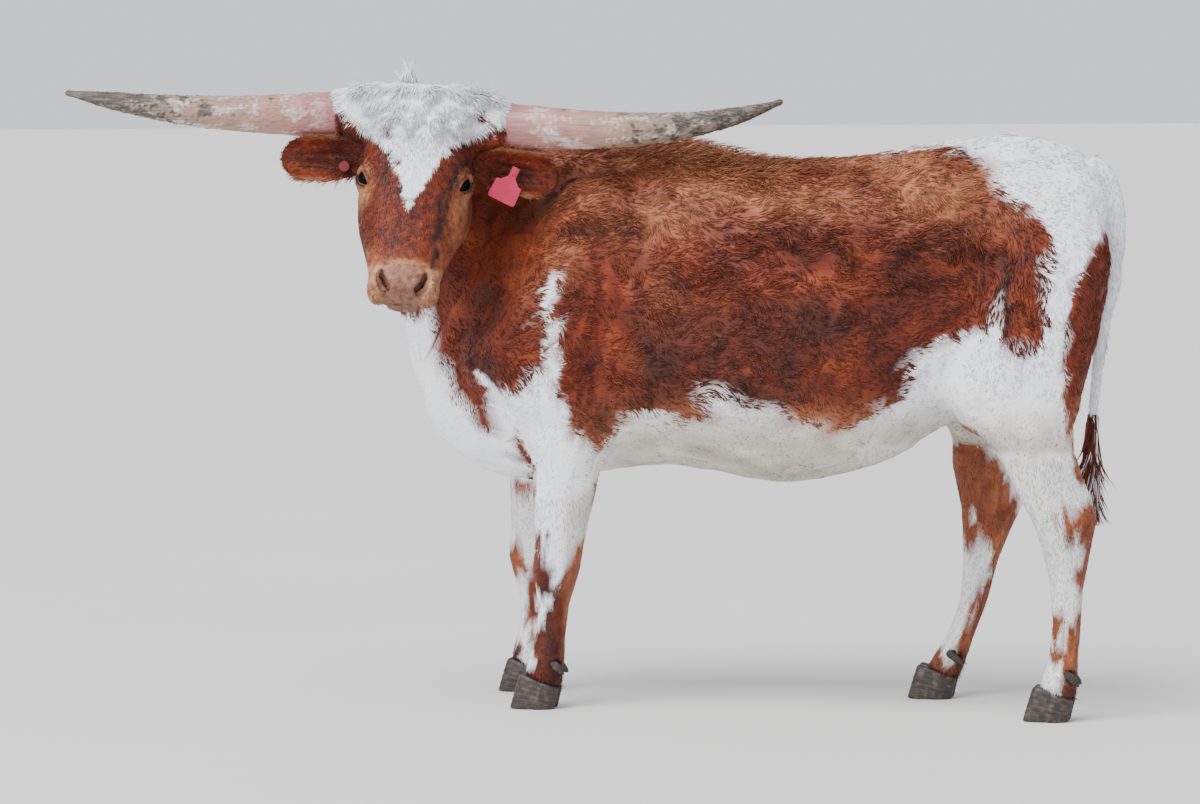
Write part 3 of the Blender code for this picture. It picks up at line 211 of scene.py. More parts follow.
NEAR_HOCK = (
    (105.3, -22.9), (106.4, -22.3), (107.6, -24.1), (109.0, -26.8), (109.9, -26.4), (109.4, -23.4),
    (111.7, -22.3), (115.2, -23.6), (116.1, -28.2), (114.2, -31.9), (112.4, -34.4), (111.0, -33.7),
    (109.2, -32.8), (107.6, -33.0), (106.0, -31.2), (104.4, -27.8), (104.4, -24.5),
)
NEAR_HOCK_BACK = (
    (111.0, -33.7), (111.3, -36.0), (108.3, -38.5), (108.5, -40.4), (110.8, -43.4), (113.3, -43.4),
    (113.8, -37.9), (113.8, -33.0),
)
NEAR_CANNON_BACK = (
    (108.5, -48.9), (110.3, -47.5), (112.4, -48.2), (111.9, -58.5), (111.9, -71.1), (106.4, -71.1),
    (106.0, -63.8), (106.4, -58.5), (107.6, -51.2),
)
NEAR_CANNON_SPOT = (
    (101.9, -49.1), (104.4, -48.4), (106.0, -50.0), (106.0, -52.3), (104.4, -53.2), (101.9, -52.3),
)
NEAR_CANNON_DOT = (
    (101.9, -55.5), (104.4, -55.7), (106.0, -59.0), (105.3, -60.6), (103.5, -58.5), (101.9, -57.4),
)
FAR_THIGH = (
    (79.8, -5.3), (82.4, -4.8), (85.3, -6.0), (91.3, -13.1), (93.8, -18.1), (95.7, -24.1), (97.7, -30.7),
    (97.7, -33.0), (95.4, -39.2), (91.1, -46.3), (89.2, -51.2), (87.4, -56.0), (85.1, -60.3), (83.3, -65.1),
    (82.6, -71.1), (68.8, -71.1), (70.0, -66.1), (72.7, -65.6), (74.6, -60.3), (76.8, -56.7), (78.5, -57.4),
    (78.9, -60.8), (81.2, -58.5), (81.7, -54.8), (85.3, -48.9), (85.1, -45.9), (86.5, -44.0), (90.4, -39.7),
    (89.0, -38.5), (90.2, -34.4), (87.9, -31.2), (87.4, -27.3), (86.9, -27.1), (86.9, -30.7), (85.3, -34.0),
    (83.0, -33.0), (82.4, -29.6), (83.5, -27.3), (81.7, -23.9), (79.4, -22.3), (78.7, -19.3), (79.8, -16.3),
    (78.7, -11.9), (77.3, -8.9),
)
BLAZE = (
    (-64.2, 70.4), (-61.2, 70.2), (-58.7, 66.1), (-54.8, 63.1), (-51.2, 61.0), (-49.3, 58.5), (-47.7, 55.5),
    (-46.8, 52.5), (-45.7, 49.1), (-44.0, 44.3), (-41.8, 47.7), (-39.9, 50.7), (-37.4, 55.1), (-34.9, 58.0),
    (-31.0, 60.6), (-27.3, 61.5), (-25.5, 64.0), (-22.5, 64.0), (-18.4, 66.1), (-9.2, 83.0), (-68.8, 83.0),
)
RED_PATCHES = (NECK_AND_SIDE, ELBOW_SPOT, CHEST_STRIP, NEAR_KNEE_BACK, NEAR_KNEE_BLOT, NEAR_FETLOCK, FAR_KNEE,
               FAR_KNEE_BACK, FAR_FETLOCK, NEAR_THIGH_BACK, NEAR_HOCK, NEAR_HOCK_BACK, NEAR_CANNON_BACK,
               NEAR_CANNON_SPOT, NEAR_CANNON_DOT, FAR_THIGH)
# Freckles of the near knee: right, up and radius, in centimetres.
FRECKLES = ((-12.0, -30.1, 0.9), (-14.4, -30.6, 0.5), (-14.7, -32.1, 0.5), (-12.3, -34.2, 0.8), (-13.2, -33.0, 0.5),
            (-9.9, -38.1, 0.9), (-11.2, -40.1, 0.9), (-12.8, -39.4, 0.6), (-14.9, -35.2, 0.7), (-14.2, -36.9, 0.7))
# Small red spots at the edge of the poll's white: right, up and radius, in centimetres.
POLL_SPOTS = ((-48.2, 61.9, 0.8), (-28.2, 66.3, 1.4), (-46.1, 54.6, 0.7))
# Where the winter coat stands out in cowlicks with a shadow under each: right and up, in centimetres.
COWLICKS = ((21.0, 31.0), (37.0, 37.5), (52.5, 36.5), (80.0, 36.5), (64.0, 28.0), (10.0, 22.0))
# Dark streaks of the face as points right, up and half width, and how dark each is.
STREAKS = (((-30.2, 55.6, 0.7), (-32.4, 53.0, 1.2), (-34.4, 49.5, 1.5), (-36.4, 44.4, 1.8), (-37.2, 39.4, 2.0),
            (-37.5, 34.8, 1.7), (-38.6, 31.0, 0.7)),
           ((-49.6, 58.2, 1.1), (-48.9, 54.6, 1.0), (-50.0, 50.6, 0.5)),
           ((-45.8, 43.4, 0.7), (-46.8, 39.2, 1.1), (-48.0, 34.8, 1.0), (-49.4, 31.2, 0.5)),
           ((-43.1, 45.4, 1.0), (-43.5, 42.2, 0.5)),
           ((-53.2, 40.0, 0.6), (-53.6, 35.6, 0.7)),
           ((-31.0, 60.5, 0.5), (-32.5, 55.5, 0.9)))
STREAK_DARKNESS = (1.15, 0.85, 0.75, 0.9, 0.40, 0.40)
# Ridges where the shaggy coat lifts into tufts, as points right, up and half width.
CURLS = (((31.8, 34.7, 1.2), (35.0, 41.7, 1.6), (38.2, 42.7, 1.8), (42.5, 39.0, 1.6), (46.8, 34.2, 0.9)),
         ((47.9, 34.7, 1.0), (48.9, 39.3, 1.5), (52.7, 39.7, 1.6), (56.4, 35.8, 1.4), (57.5, 32.6, 0.8)),
         ((65.0, 33.7, 1.1), (70.4, 37.9, 1.5), (76.8, 39.2, 1.8), (83.2, 39.5, 1.6), (89.6, 35.4, 1.0)),
         ((15.8, 31.9, 1.2), (19.0, 29.8, 1.6), (22.2, 28.5, 1.7), (25.9, 27.9, 1.0)),
         ((-9.0, 41.2, 1.0), (-1.4, 42.7, 1.5), (8.3, 41.5, 1.0)),
         ((66.0, 27.5, 1.0), (72.0, 30.0, 1.5), (78.0, 28.6, 1.2)),
         ((30.0, 26.0, 1.0), (34.5, 24.6, 1.4), (39.0, 25.4, 1.0)))
# Broad painted shade and painted highlight of the trunk's near side: right, up, half width, half height, strength;
# first the painted shade, with darker hair in part of it, then the painted highlight along the back and shoulder.
PAINTED_SHADES = ((41.3, 13.1, 15, 10, 0.72), (20.6, 15.4, 9, 10, 0.62), (9.2, 11.0, 2.6, 11, 0.75), (64, 20, 14, 8, 0.48),
          (82.6, 29, 9, 6, 0.35), (47, 22, 3, 3, 0.45), (40.5, 21.0, 2.6, 2.6, 0.55), (78.5, 34.5, 2.4, 2.0, 0.6),
          (-27, 15.5, 8, 13, 0.50), (0, -4, 9, 6, 0.40), (33, 2, 14, 5, 0.45), (16, 5, 12, 6, 0.55))
PAINTED_HIGHLIGHTS = ((23, 51, 34, 9, 0.95), (60, 51, 30, 8, 0.90), (84, 47, 14, 7, 0.60), (-9, 38, 8, 13, 0.30),
          (8, 40, 7, 9, 0.35), (-14, 27, 6, 9, 0.30), (14, 26, 5, 9, 0.25))
# The far side's red patch: X and height in metres.
FAR_SIDE_PATCH = ((-0.50, 1.50), (-0.50, 0.92), (-0.36, 0.80), (-0.27, 0.66), (-0.19, 0.58), (-0.14, 0.66),
                  (-0.10, 0.80), (-0.05, 0.93), (0.00, 1.06), (0.06, 1.08), (0.09, 0.96), (0.10, 0.80), (0.18, 0.68),
                  (0.27, 0.63), (0.36, 0.70), (0.45, 0.64), (0.55, 0.66), (0.60, 0.76), (0.66, 0.86), (0.72, 0.84),
                  (0.80, 0.93), (0.87, 0.92), (0.93, 1.04), (0.90, 1.14), (0.82, 1.20), (0.74, 1.23), (0.62, 1.30),
                  (0.60, 1.50))

# The hide's regions by number, and the groups that share a rule. Near is the animal's left, which the camera sees.
REGIONS = ("near_side", "far_side", "near_neck", "far_neck", "near_foreleg", "far_foreleg", "near_hindleg",
           "far_hindleg", "tail", "face", "poll", "ears")
(NEAR_SIDE, FAR_SIDE, NEAR_NECK, FAR_NECK, NEAR_FORELEG, FAR_FORELEG, NEAR_HINDLEG, FAR_HINDLEG, TAIL, FACE, POLL,
 EARS) = range(len(REGIONS))
NEAR_TRUNK = (NEAR_SIDE, NEAR_NECK)
FAR_TRUNK = (FAR_SIDE, FAR_NECK)
TRUNK = NEAR_TRUNK + FAR_TRUNK
LEGS = (NEAR_FORELEG, FAR_FORELEG, NEAR_HINDLEG, FAR_HINDLEG)
# Where the regions part, in metres: the tops of the legs' regions, the X that the forelegs stay in front of and the
# hind legs behind, the tail's front and half width, the line from withers to chest that ends the neck, and, in head
# coordinates, the poll's lower edge, the brow, the half widths above and below it, and the face's back and end.
FORELEG_TOP, HINDLEG_TOP = 0.50, 0.60
FORELEG_END, HINDLEG_START = 0.4, 0.6
TAIL_FRONT, TAIL_HALF_WIDTH = 1.055, 0.045
NECK_END, NECK_LEAN = -0.16, 0.19
POLL_EDGE, BROW = 0.060, 0.07
BROW_HALF_WIDTH, FACE_HALF_WIDTH = 0.27, 0.150
FACE_BACK, FACE_END = -0.245, 0.55
SIDE_NAMES = {1: "left", -1: "right"}


def camera_matrix():
    """Where the camera stands: a turn about the upright, a tilt down and a small roll, after a step back."""
    turn = Matrix.Rotation(VIEW_TURN, 4, "Z")
    tilt = Matrix.Rotation(math.pi / 2 - LOOK_DOWN, 4, "X")
    roll = Matrix.Rotation(-VIEW_ROLL, 4, "Z")
    place = Vector((VIEW_DISTANCE * math.sin(VIEW_TURN), -VIEW_DISTANCE * math.cos(VIEW_TURN), VIEW_HEIGHT))
    return Matrix.Translation(place + Vector(SHIFT)) @ turn @ tilt @ roll


def seen(points):
    """Places on the side view in centimetres right of and above its middle: distance times side over depth."""
    matrix = np.array(camera_matrix().inverted())
    local = points @ matrix[:3, :3].T + matrix[:3, 3]
    return 100 * VIEW_DISTANCE * local[:, :2] / -local[:, 2:3]


def to_head(points):
    """Head coordinates of places: left, down the face and out of the forehead, from the poll."""
    return (points - HEAD_ORIGIN) @ HEAD_AXES.T


def from_head(places):
    """Places of head coordinates."""
    return np.atleast_2d(places) @ HEAD_AXES + HEAD_ORIGIN


def unit(rows):
    """Each row over its own length."""
    return rows / np.maximum(np.linalg.norm(rows, axis=-1, keepdims=True), 1e-9)


def fade(value, low, high):
    """A smooth step: 0 below low, 1 above high, and 3 t squared less 2 t cubed between."""
    share = np.clip((value - low) / (high - low), 0, 1)
    return share * share * (3 - 2 * share)


def bump(value, width):
    """A round hump: e to the minus square of value over width."""
    return np.exp(-((value / width) ** 2))


def knob(places, centre, width, scale=1.0):
    """A round hump at a point: e to the minus square of the scaled distance from it over width."""
    return bump(np.linalg.norm((places - np.array(centre)) * scale, axis=1), width)


def ripple(points, size, seed, waves=22):
    """Soft noise of about -1 to 1: the sum of sines that run in seeded directions, some size metres apart."""
    draw = np.random.default_rng(seed)
    run = unit(draw.normal(size=(waves, 3))) * (2 * math.pi / size) * draw.uniform(0.6, 1.5, (waves, 1))
    total = np.zeros(len(points))
    for way, start in zip(run, draw.uniform(0, 2 * math.pi, waves)):
        total += np.sin(points @ way + start)
    return total * math.sqrt(2 / waves) / 1.6


def inside_by(outline, places):
    """Signed distance of places in the plane from a closed outline, more than 0 inside it.

    The distance is the least to any side; a place is inside where a ray to the right crosses an odd number.
    """
    line = np.array(outline, float)
    near = np.full(len(places), np.inf)
    crossings = np.zeros(len(places), int)
    for start, end in zip(line, np.roll(line, -1, axis=0)):
        side = end - start
        share = np.clip(((places - start) @ side) / max(side @ side, 1e-9), 0, 1)
        near = np.minimum(near, np.linalg.norm(places - start - share[:, None] * side, axis=1))
        spans = (start[1] > places[:, 1]) != (end[1] > places[:, 1])
        cross = start[0] + (places[:, 1] - start[1]) * side[0] / (side[1] if side[1] else 1e-9)
        crossings += spans & (places[:, 0] < cross)
    return np.where(crossings % 2 == 1, near, -near)


def line_gap(line, places):
    """How far into a stroke each place in the plane lies: e to the minus square of distance over half width."""
    line = np.array(line, float)
    found = np.zeros(len(places))
    for start, end in zip(line[:-1], line[1:]):
        side = (end - start)[:2]
        share = np.clip(((places - start[:2]) @ side) / (side @ side), 0, 1)
        gap = np.linalg.norm(places - start[:2] - share[:, None] * side, axis=1)
        found = np.maximum(found, bump(gap, start[2] + (end[2] - start[2]) * share))
    return found


def blotches(spots, side):
    """Sum of soft oval spots on the side view, at most 1."""
    u, v = side.T
    return np.clip(sum(k * bump(u - a, w) * bump(v - b, h) for a, b, w, h, k in spots), 0, 1)


def neck_folds(points):
    """Height of the neck's upright folds at each place, -1 in the narrow valleys to 1, on its near side.

    It is twice the root of a sine's size less 1, turned a little from upright and swayed by a ripple.
    """
    u, v = seen(points).T
    across = (u + 20.0 + 0.16 * (v - 30)) / FOLD_WIDTH
    turn = across * math.pi + 0.8 * ripple(points * (1, 1, 0.6), 0.22, 13)
    wave = 2 * np.sqrt(np.abs(np.sin(turn))) - 1.0
    reach = fade(u, -37, -33) * fade(-u, 8, 15) * fade(v, 2, 14) * fade(-v, -54, -42) * (points[:, 1] < MIDLINE)
    return wave * reach * (0.65 + 0.35 * ripple(points, 0.16, 24))


def curls(points, side):
    """Ridges of the shaggy coat on the near side and the hollows under them, each 0 to 1."""
    bend = side + np.stack([ripple(points, 0.045, 26), ripple(points, 0.045, 27)], 1) * 0.7
    ridge = np.max([line_gap(line, bend) for line in CURLS], axis=0)
    hollow = np.max([line_gap(line, bend + (0.4, 2.5)) for line in CURLS], axis=0)
    near = points[:, 1] < MIDLINE
    return ridge * near, hollow * (1 - ridge) * near


def mouth_gap(local):
    """How deep each place lies in the line between the lips, 0 to 1: across the front and back along each side."""
    s, t, n = local.T
    front = bump(t - 0.4955 - 2.0 * s**2, 0.0028) * fade(-n, 0.052, 0.062) * fade(-np.abs(s), -0.060, -0.050)
    level = -0.083 - 0.30 * np.clip(0.4975 - t, 0, 0.06)
    side = bump(n - level, 0.0034) * fade(t, 0.395, 0.425) * (np.abs(s) > 0.035)
    return np.maximum(front, side)


def ear_place(points):
    """The share of each place along its ear, and how high it lies across it, -1 to 1."""
    s = to_head(points)[:, 0]
    tip = np.where(s < 0, EAR_TIPS[0], EAR_TIPS[1])
    along = (np.abs(s) - EAR_ROOT + EAR_BURIED) / (tip - EAR_ROOT + EAR_BURIED)
    middle = from_head(np.stack([s, np.full(len(s), EAR_PLACE[0]), np.full(len(s), EAR_PLACE[1])], 1))
    return along, ((points - middle) @ ROLL_UP + EAR_SAG * along**2) / EAR_HALF_WIDTH


def eye_place(side):
    """The middle of an eye in head coordinates, 1 for the left and -1 for the right."""
    return np.array([side * EYE_PLACE[0], EYE_PLACE[1], EYE_PLACE[2]])


def lid_spread(own):
    """How far out of the opening between the lids each place in an eye's own axes lies: 1 on its edge."""
    return np.hypot(own[:, 1] / LID_OPENING[0], own[:, 2] / LID_OPENING[1])


def neck_side(points):
    """Signed distance in front of the plane that parts the head from the neck."""
    local = to_head(points)
    side = JAW_ANGLE - NAPE
    normal = unit(np.array([0.0, -side[2], side[1]]))
    return (local - NAPE) @ normal


def regions(points):
    """Which part of the hide each place is on, as its number in REGIONS, by planes across the body and the head."""
    x, y, z = points.T
    s, t, n = to_head(points).T
    wide = np.where(t < BROW, BROW_HALF_WIDTH, FACE_HALF_WIDTH)
    face = (neck_side(points) > 0.0) & (np.abs(s) < wide) & (n > FACE_BACK) & (t < FACE_END)
    far = y > MIDLINE
    off = np.abs(y - MIDLINE)
    tail = (x > TAIL_FRONT) & (off < TAIL_HALF_WIDTH) & (z < 1.26) & (x - TAIL_FRONT > (z - 1.08) * 0.35)
    tail |= (x > TAIL_FRONT - 0.005) & (off < TAIL_HALF_WIDTH - 0.010) & (z < 1.06)
    found = np.where(far, FAR_SIDE, NEAR_SIDE)
    for inside, near_part, far_part in ((x + NECK_LEAN * (1.0 - z) < NECK_END, NEAR_NECK, FAR_NECK),
                                        ((z < FORELEG_TOP) & (x < FORELEG_END), NEAR_FORELEG, FAR_FORELEG),
                                        ((z < HINDLEG_TOP) & (x > HINDLEG_START), NEAR_HINDLEG, FAR_HINDLEG)):
        found = np.where(inside, np.where(far, far_part, near_part), found)
    found[tail] = TAIL
    found[face] = FACE
    found[face & (t < POLL_EDGE)] = POLL
    return found


def with_spots(red, side, spots, where):
    """The signed distance again after round spots, each right, up and radius, are added where a test holds."""
    for u, v, radius in spots:
        red = np.where(where, np.maximum(red, radius - np.linalg.norm(side - (u, v), axis=1)), red)
    return red


def markings(points, part):
    """What colours the hide at each place: shares of white, dark streaked hair with painted shade, bare skin, warmer
    tan with painted highlight and shade, and pale peach.

    White and red part where a signed distance to the outlines, roughened by two ripples, passes through 0.
    """
    side = seen(points)
    x, y, z = points.T
    rough = 0.55 * ripple(points, 0.035, 1) + 0.35 * ripple(points, 0.010, 2)
    red = np.max([inside_by(outline, side) for outline in RED_PATCHES], axis=0)
    far = 100 * inside_by(FAR_SIDE_PATCH, np.stack([x, z], 1)) + 2.5 * ripple(points, 0.16, 3)
    red = np.where(np.isin(part, FAR_TRUNK) & (y > MIDLINE), far, red)
    red = with_spots(red, side, FRECKLES, y < MIDLINE)
    local = to_head(points)
    head = part >= FACE
    front = head & (local[:, 2] > -0.15) & (part != EARS)
    red = np.where(head, 4.0, red)
    red = np.where(front, -inside_by(BLAZE, side), red)
    red = with_spots(red, side, POLL_SPOTS, front)
    tail = part == TAIL
    red = np.where(tail, 100 * (0.655 - z) + 2.0 * (x < 1.105) - 1.0, red)
    red = np.where(tail & (x > 1.130) & (z < 0.66) & (z > 0.50), -0.3 + 100 * (1.128 - x), red)
    white = fade(-(red + rough), -0.25, 0.25)
    return np.stack([white, brindle_and_painted_shade(points, side, part, local), bare(part, local),
                     tan(points, side, part, local), peach(part, local)], 1)


def tan(points, side, part, local):
    """Share of lighter, warmer hair round the eyes and on the cheeks, painted highlight along the back and shoulder,
    and cream on the belly that is partly painted shade.

    Each is a product of smooth steps and humps in its own place, and the largest counts.
    """
    u, v = side.T
    s, t = local.T[:2]
    x, z = points[:, 0], points[:, 2]
    face = part == FACE
    found = np.zeros(len(points))
    for way in (-1, 1):
        off = np.linalg.norm((local - (way * 0.108, 0.222, -0.047)) * (1.0, 0.62, 1.0), axis=1)
        found = np.maximum(found, 0.80 * fade(-off, -0.046, -0.020) * face)
    cheek = bump(u + 32.0 + 0.10 * (v - 40), 2.6) * fade(v, 30, 38) * fade(-v, -50, -45)
    jaw = 0.35 * fade(t, 0.33, 0.40) * fade(np.abs(s), 0.045, 0.075)
    muzzle = 0.8 * fade(t, 0.400, 0.430)
    found = np.max([found, 0.85 * cheek * face, jaw * face, muzzle * face], axis=0)
    patchy = 0.62 + 0.38 * ripple(points * (1.3, 1.0, 0.7), 0.13, 9)
    near, trunk = np.isin(part, NEAR_TRUNK), np.isin(part, TRUNK)
    # Painted highlight: broad spots along the back and over the shoulder on the near side, and the far side lighter
    # towards the top.
    light = np.where(near, blotches(PAINTED_HIGHLIGHTS, side), 0.7 * fade(z, 1.02, 1.22)) * trunk
    withers = 0.8 * bump(x - 0.24, 0.20) * fade(z, 1.16, 1.22) * trunk
    # Cream on the belly, partly the painted shade of its underside.
    belly = 0.85 * fade(-z, -0.76, -0.60) * trunk * fade(x, -0.10, 0.10)
    fore_back = 0.60 * (part == NEAR_FORELEG) * fade(u, -9.5, -7.0) + 0.25 * (part == FAR_FORELEG)
    hind = 0.38 * np.isin(part, (NEAR_HINDLEG, FAR_HINDLEG))
    rim = 0.75 * (part == EARS) * fade(np.abs(ear_place(points)[1]), 0.72, 0.98)
    return np.clip(np.max([found, light * patchy, withers, belly, fore_back, hind, rim], axis=0), 0, 1)


def peach(part, local):
    """Share of the palest, peach hair: the muzzle's ring, a patch under each eye, and a line above each lid."""
    s, t = local.T[:2]
    found = 0.90 * fade(t + 0.25 * np.abs(s), 0.428, 0.450)
    found = np.maximum(found, 0.35 * bump(t - 0.416, 0.008) * bump(s, 0.035))
    for way in (-1, 1):
        under = knob(local, (way * 0.120, 0.243, -0.050), 0.017, (1.0, 0.7, 0.7))
        over = knob(local, (way * 0.117, 0.176, -0.045), 0.014, (1.0, 1.6, 0.8))
        found = np.max([found, 0.75 * under, 0.55 * over], axis=0)
    return found * (part == FACE)


def brindle_and_painted_shade(points, side, part, local):
    """Share of dark hair and painted shade: streaks of the face and the flank, and painted shade low on the trunk, in
    the nostrils, in the bottoms of the neck's folds, under the coat's curls, and in the ears' hollows and creases.

    Each is a product of smooth steps, humps and seeded ripples in its own place, and the largest counts.
    """
    u, v = side.T
    s, t = local.T[:2]
    z = points[:, 2]
    face, near = part == FACE, np.isin(part, NEAR_TRUNK)
    ragged = 0.78 + 0.30 * ripple(points * (1, 1, 0.5), 0.022, 5)
    bend = np.stack([u + 0.35 * ripple(points, 0.030, 16), v], 1)
    streaks = np.max([k * line_gap(line, bend) for line, k in zip(STREAKS, STREAK_DARKNESS)], axis=0) * ragged
    flecks = 0.7 * fade(ripple(points * (1, 1, 0.45), 0.014, 10), 0.45, 0.8) * fade(t, 0.24, 0.32) * bump(s, 0.05)
    deep = 0.30 * fade(t, 0.10, 0.18) * fade(-t, -0.40, -0.33) * (0.5 + 0.5 * ripple(points, 0.045, 17))
    whiskers = 0.8 * fade(ripple(points, 0.0075, 18), 0.75, 1.0) * fade(t, 0.425, 0.435)
    whiskers = whiskers * fade(np.abs(s), 0.050, 0.060)
    dots = 0.75 * fade(ripple(points, 0.0080, 19), 0.85, 1.1) * bump(t - 0.440, 0.010) * (np.abs(s) < 0.045)
    # The nostrils' slits darken here as painted shade.
    of_face = np.max([streaks, flecks, deep, whiskers, dots, nostril_depth(local)], axis=0) * face
    flank = fade(ripple(points * (3.2, 3.2, 0.5), 0.10, 6), 0.10, 0.6) * bump(u - 95, 9) * bump(v - 24, 15)
    # Painted shade low on the trunk: broad spots on the near side, some of them darker hair, and the far side darker
    # towards the bottom.
    soft = 0.75 + 0.35 * ripple(points * (1.4, 1.0, 0.7), 0.12, 7)
    near_shade = blotches(PAINTED_SHADES, side) * soft * near
    far_shade = 0.4 * fade(-z, -1.0, -0.80) * np.isin(part, FAR_TRUNK) * soft
    # Painted shade in the bottoms of the neck's folds and under the coat's curls.
    wave = neck_folds(points)
    folds = 0.90 * np.clip(-wave + 0.1, 0, 1) * near * (wave != 0)
    hollows = 0.62 * curls(points, side)[1] * near
    fore = 0.8 * bump(u + 11.5, 3.0) * fade(-v, 27, 33) * (part == NEAR_FORELEG)
    low = 0.75 * fade(-z, -0.14, -0.10) * np.isin(part, LEGS) * (0.7 + 0.3 * ripple(points, 0.02, 8))
    # Painted shade in each ear's hollow and along the creases beside its ridges.
    along, height = ear_place(points)
    lines = sum(bump(height - a - b * (along - 0.6), 0.07) for a, b in ((-0.46, 0.5), (-0.14, 0.2), (0.22, -0.3)))
    of_ear = (part == EARS) * (0.30 * bump(height + 0.12, 0.45) + 0.55 * lines) * bump(along - 0.62, 0.26)
    return np.clip(np.max([of_face, flank, near_shade, far_shade, folds, hollows, fore, low, of_ear], axis=0), 0, 1)


def bare(part, local):
    """Share of bare or thinly haired skin: 1 on the nose pad, a little over half on the lips."""
    s, t, n = local.T
    half = 0.0575 - 0.75 * np.clip(t - 0.474, 0, 0.02) - 0.4 * np.clip(0.440 - t, 0, 0.02)
    pad = fade(t, 0.4225, 0.4290) * fade(half - np.abs(s), -0.003, 0.004)
    lips = fade(t, 0.462, 0.472) * fade(-n, 0.074, 0.080) * 0.55
    return np.where(part == FACE, np.clip(np.maximum(pad, lips), 0, 1), 0.0)


def mesh_arrays(mesh):
    """A mesh's corner places, its triangles and its corner normals, as arrays."""
    mesh.calc_loop_triangles()
    found = []
    for rows, name, kind in ((mesh.vertices, "co", np.float32), (mesh.loop_triangles, "vertices", np.int32),
                             (mesh.vertices, "normal", np.float32)):
        values = np.empty(len(rows) * 3, kind)
        rows.foreach_get(name, values)
        found.append(values.reshape(-1, 3))
    co, triangles, normals = found
    return co.astype(float), triangles, normals.astype(float)


def linked(name, data, matrix=None):
    """A new object in the scene, at the origin or where a matrix puts it."""
    made = bpy.data.objects.new(name, data)
    if matrix is not None:
        made.matrix_world = matrix
    bpy.context.scene.collection.objects.link(made)
    return made


def put_mesh(name, co, faces, smooth=True):
    """A new object at the origin from corner places and faces of one size, given as whole arrays."""
    faces = np.asarray(faces, np.int32)
    mesh = bpy.data.meshes.new(name)
    mesh.vertices.add(len(co))
    mesh.vertices.foreach_set("co", np.asarray(co, np.float32).ravel())
    mesh.loops.add(faces.size)
    mesh.loops.foreach_set("vertex_index", faces.ravel())
    mesh.polygons.add(len(faces))
    mesh.polygons.foreach_set("loop_start", np.arange(0, faces.size, faces.shape[1], dtype=np.int32))
    mesh.update(calc_edges=True)
    mesh.validate()
    mesh.polygons.foreach_set("use_smooth", np.full(len(mesh.polygons), smooth))
    return linked(name, mesh)


def grid_faces(rows, columns, closed=True, start=0):
    """Four-cornered faces of a grid of rows by columns; closed grids join their last column to the first."""
    across = np.arange(columns if closed else columns - 1)
    row = np.arange(rows - 1)[:, None] * columns
    here, there = start + row + across, start + row + (across + 1) % columns
    return np.stack([here, there, there + columns, here + columns], -1).reshape(-1, 4)


def add_colour(obj, name, values):
    """Puts three or four numbers a corner place on the mesh, as an attribute that materials read."""
    rows = np.ones((len(values), 4), np.float32)
    rows[:, : values.shape[1]] = values
    layer = obj.data.attributes.new(name, "FLOAT_COLOR", "POINT")
    layer.data.foreach_set("color", rows.ravel())


def applied(obj):
    """Applies the object's modifiers to its mesh."""
    depsgraph = bpy.context.evaluated_depsgraph_get()
    done = bpy.data.meshes.new_from_object(obj.evaluated_get(depsgraph))
    obj.modifiers.clear()
    old, obj.data = obj.data, done
    bpy.data.meshes.remove(old)
    return obj


def merged_copy(name):
    """A solid's corners and triangles, its doubles merged and each corner pushed out a little along its normal."""
    work = bmesh.new()
    work.from_mesh(frame["nodes"][name].data)
    bmesh.ops.remove_doubles(work, verts=work.verts, dist=1e-5)
    bmesh.ops.recalc_face_normals(work, faces=work.faces)
    mesh = bpy.data.meshes.new("copy")
    work.to_mesh(mesh)
    work.free()
    co, triangles, normals = mesh_arrays(mesh)
    bpy.data.meshes.remove(mesh)
    return co + normals * CLOSE_GAP, triangles


def round_tube(line, thick, count, lean=(1.0, 0.0, 0.0)):
    """Corners of a tube: circles of the given half thickness, square to the line, and its two end points."""
    line, thick = np.asarray(line, float), np.asarray(thick, float)
    run = unit(np.gradient(line, axis=0))
    across = unit(np.cross(run, lean))
    out = np.cross(across, run)
    angle = np.arange(count) * 2 * math.pi / count
    ring = np.cos(angle)[None, :, None] * across[:, None] + np.sin(angle)[None, :, None] * out[:, None]
    return (line[:, None] + ring * thick[:, None, None]).reshape(-1, 3)


def capped(rows, columns):
    """Triangles of a closed grid of rows by columns whose first and last rows shrink to one added point each."""
    quads = grid_faces(rows, columns)
    sides = np.concatenate([quads[:, [0, 1, 2]], quads[:, [0, 2, 3]]])
    here = np.arange(columns)
    following = (here + 1) % columns
    low, high = rows * columns, rows * columns + 1
    first = np.stack([np.full(columns, low), following, here], 1)
    last = np.stack([np.full(columns, high), here + (rows - 1) * columns, following + (rows - 1) * columns], 1)
    return np.concatenate([sides, first, last])


def flesh_arrays():
    """All flesh solids but the ears and the switch, and the switch's core as a tube, as corners and triangles."""
    all_co, all_triangles, start = [], [], 0
    for name in FLESH:
        if name.startswith("ear_"):
            continue
        if name == "tail_switch":
            columns = 16
            height, x, thick = np.array(SWITCH_CORE).T
            line = np.stack([x, np.zeros(len(x)), height], 1) + SHIFT
            co = np.concatenate([round_tube(line, thick, columns), line[:1], line[-1:] - (0, 0, 0.004)])
            triangles = capped(len(line), columns)
        else:
            co, triangles = merged_copy(name)
        all_co.append(co)
        all_triangles.append(triangles + start)
        start += len(co)
    return np.concatenate(all_co), np.concatenate(all_triangles)


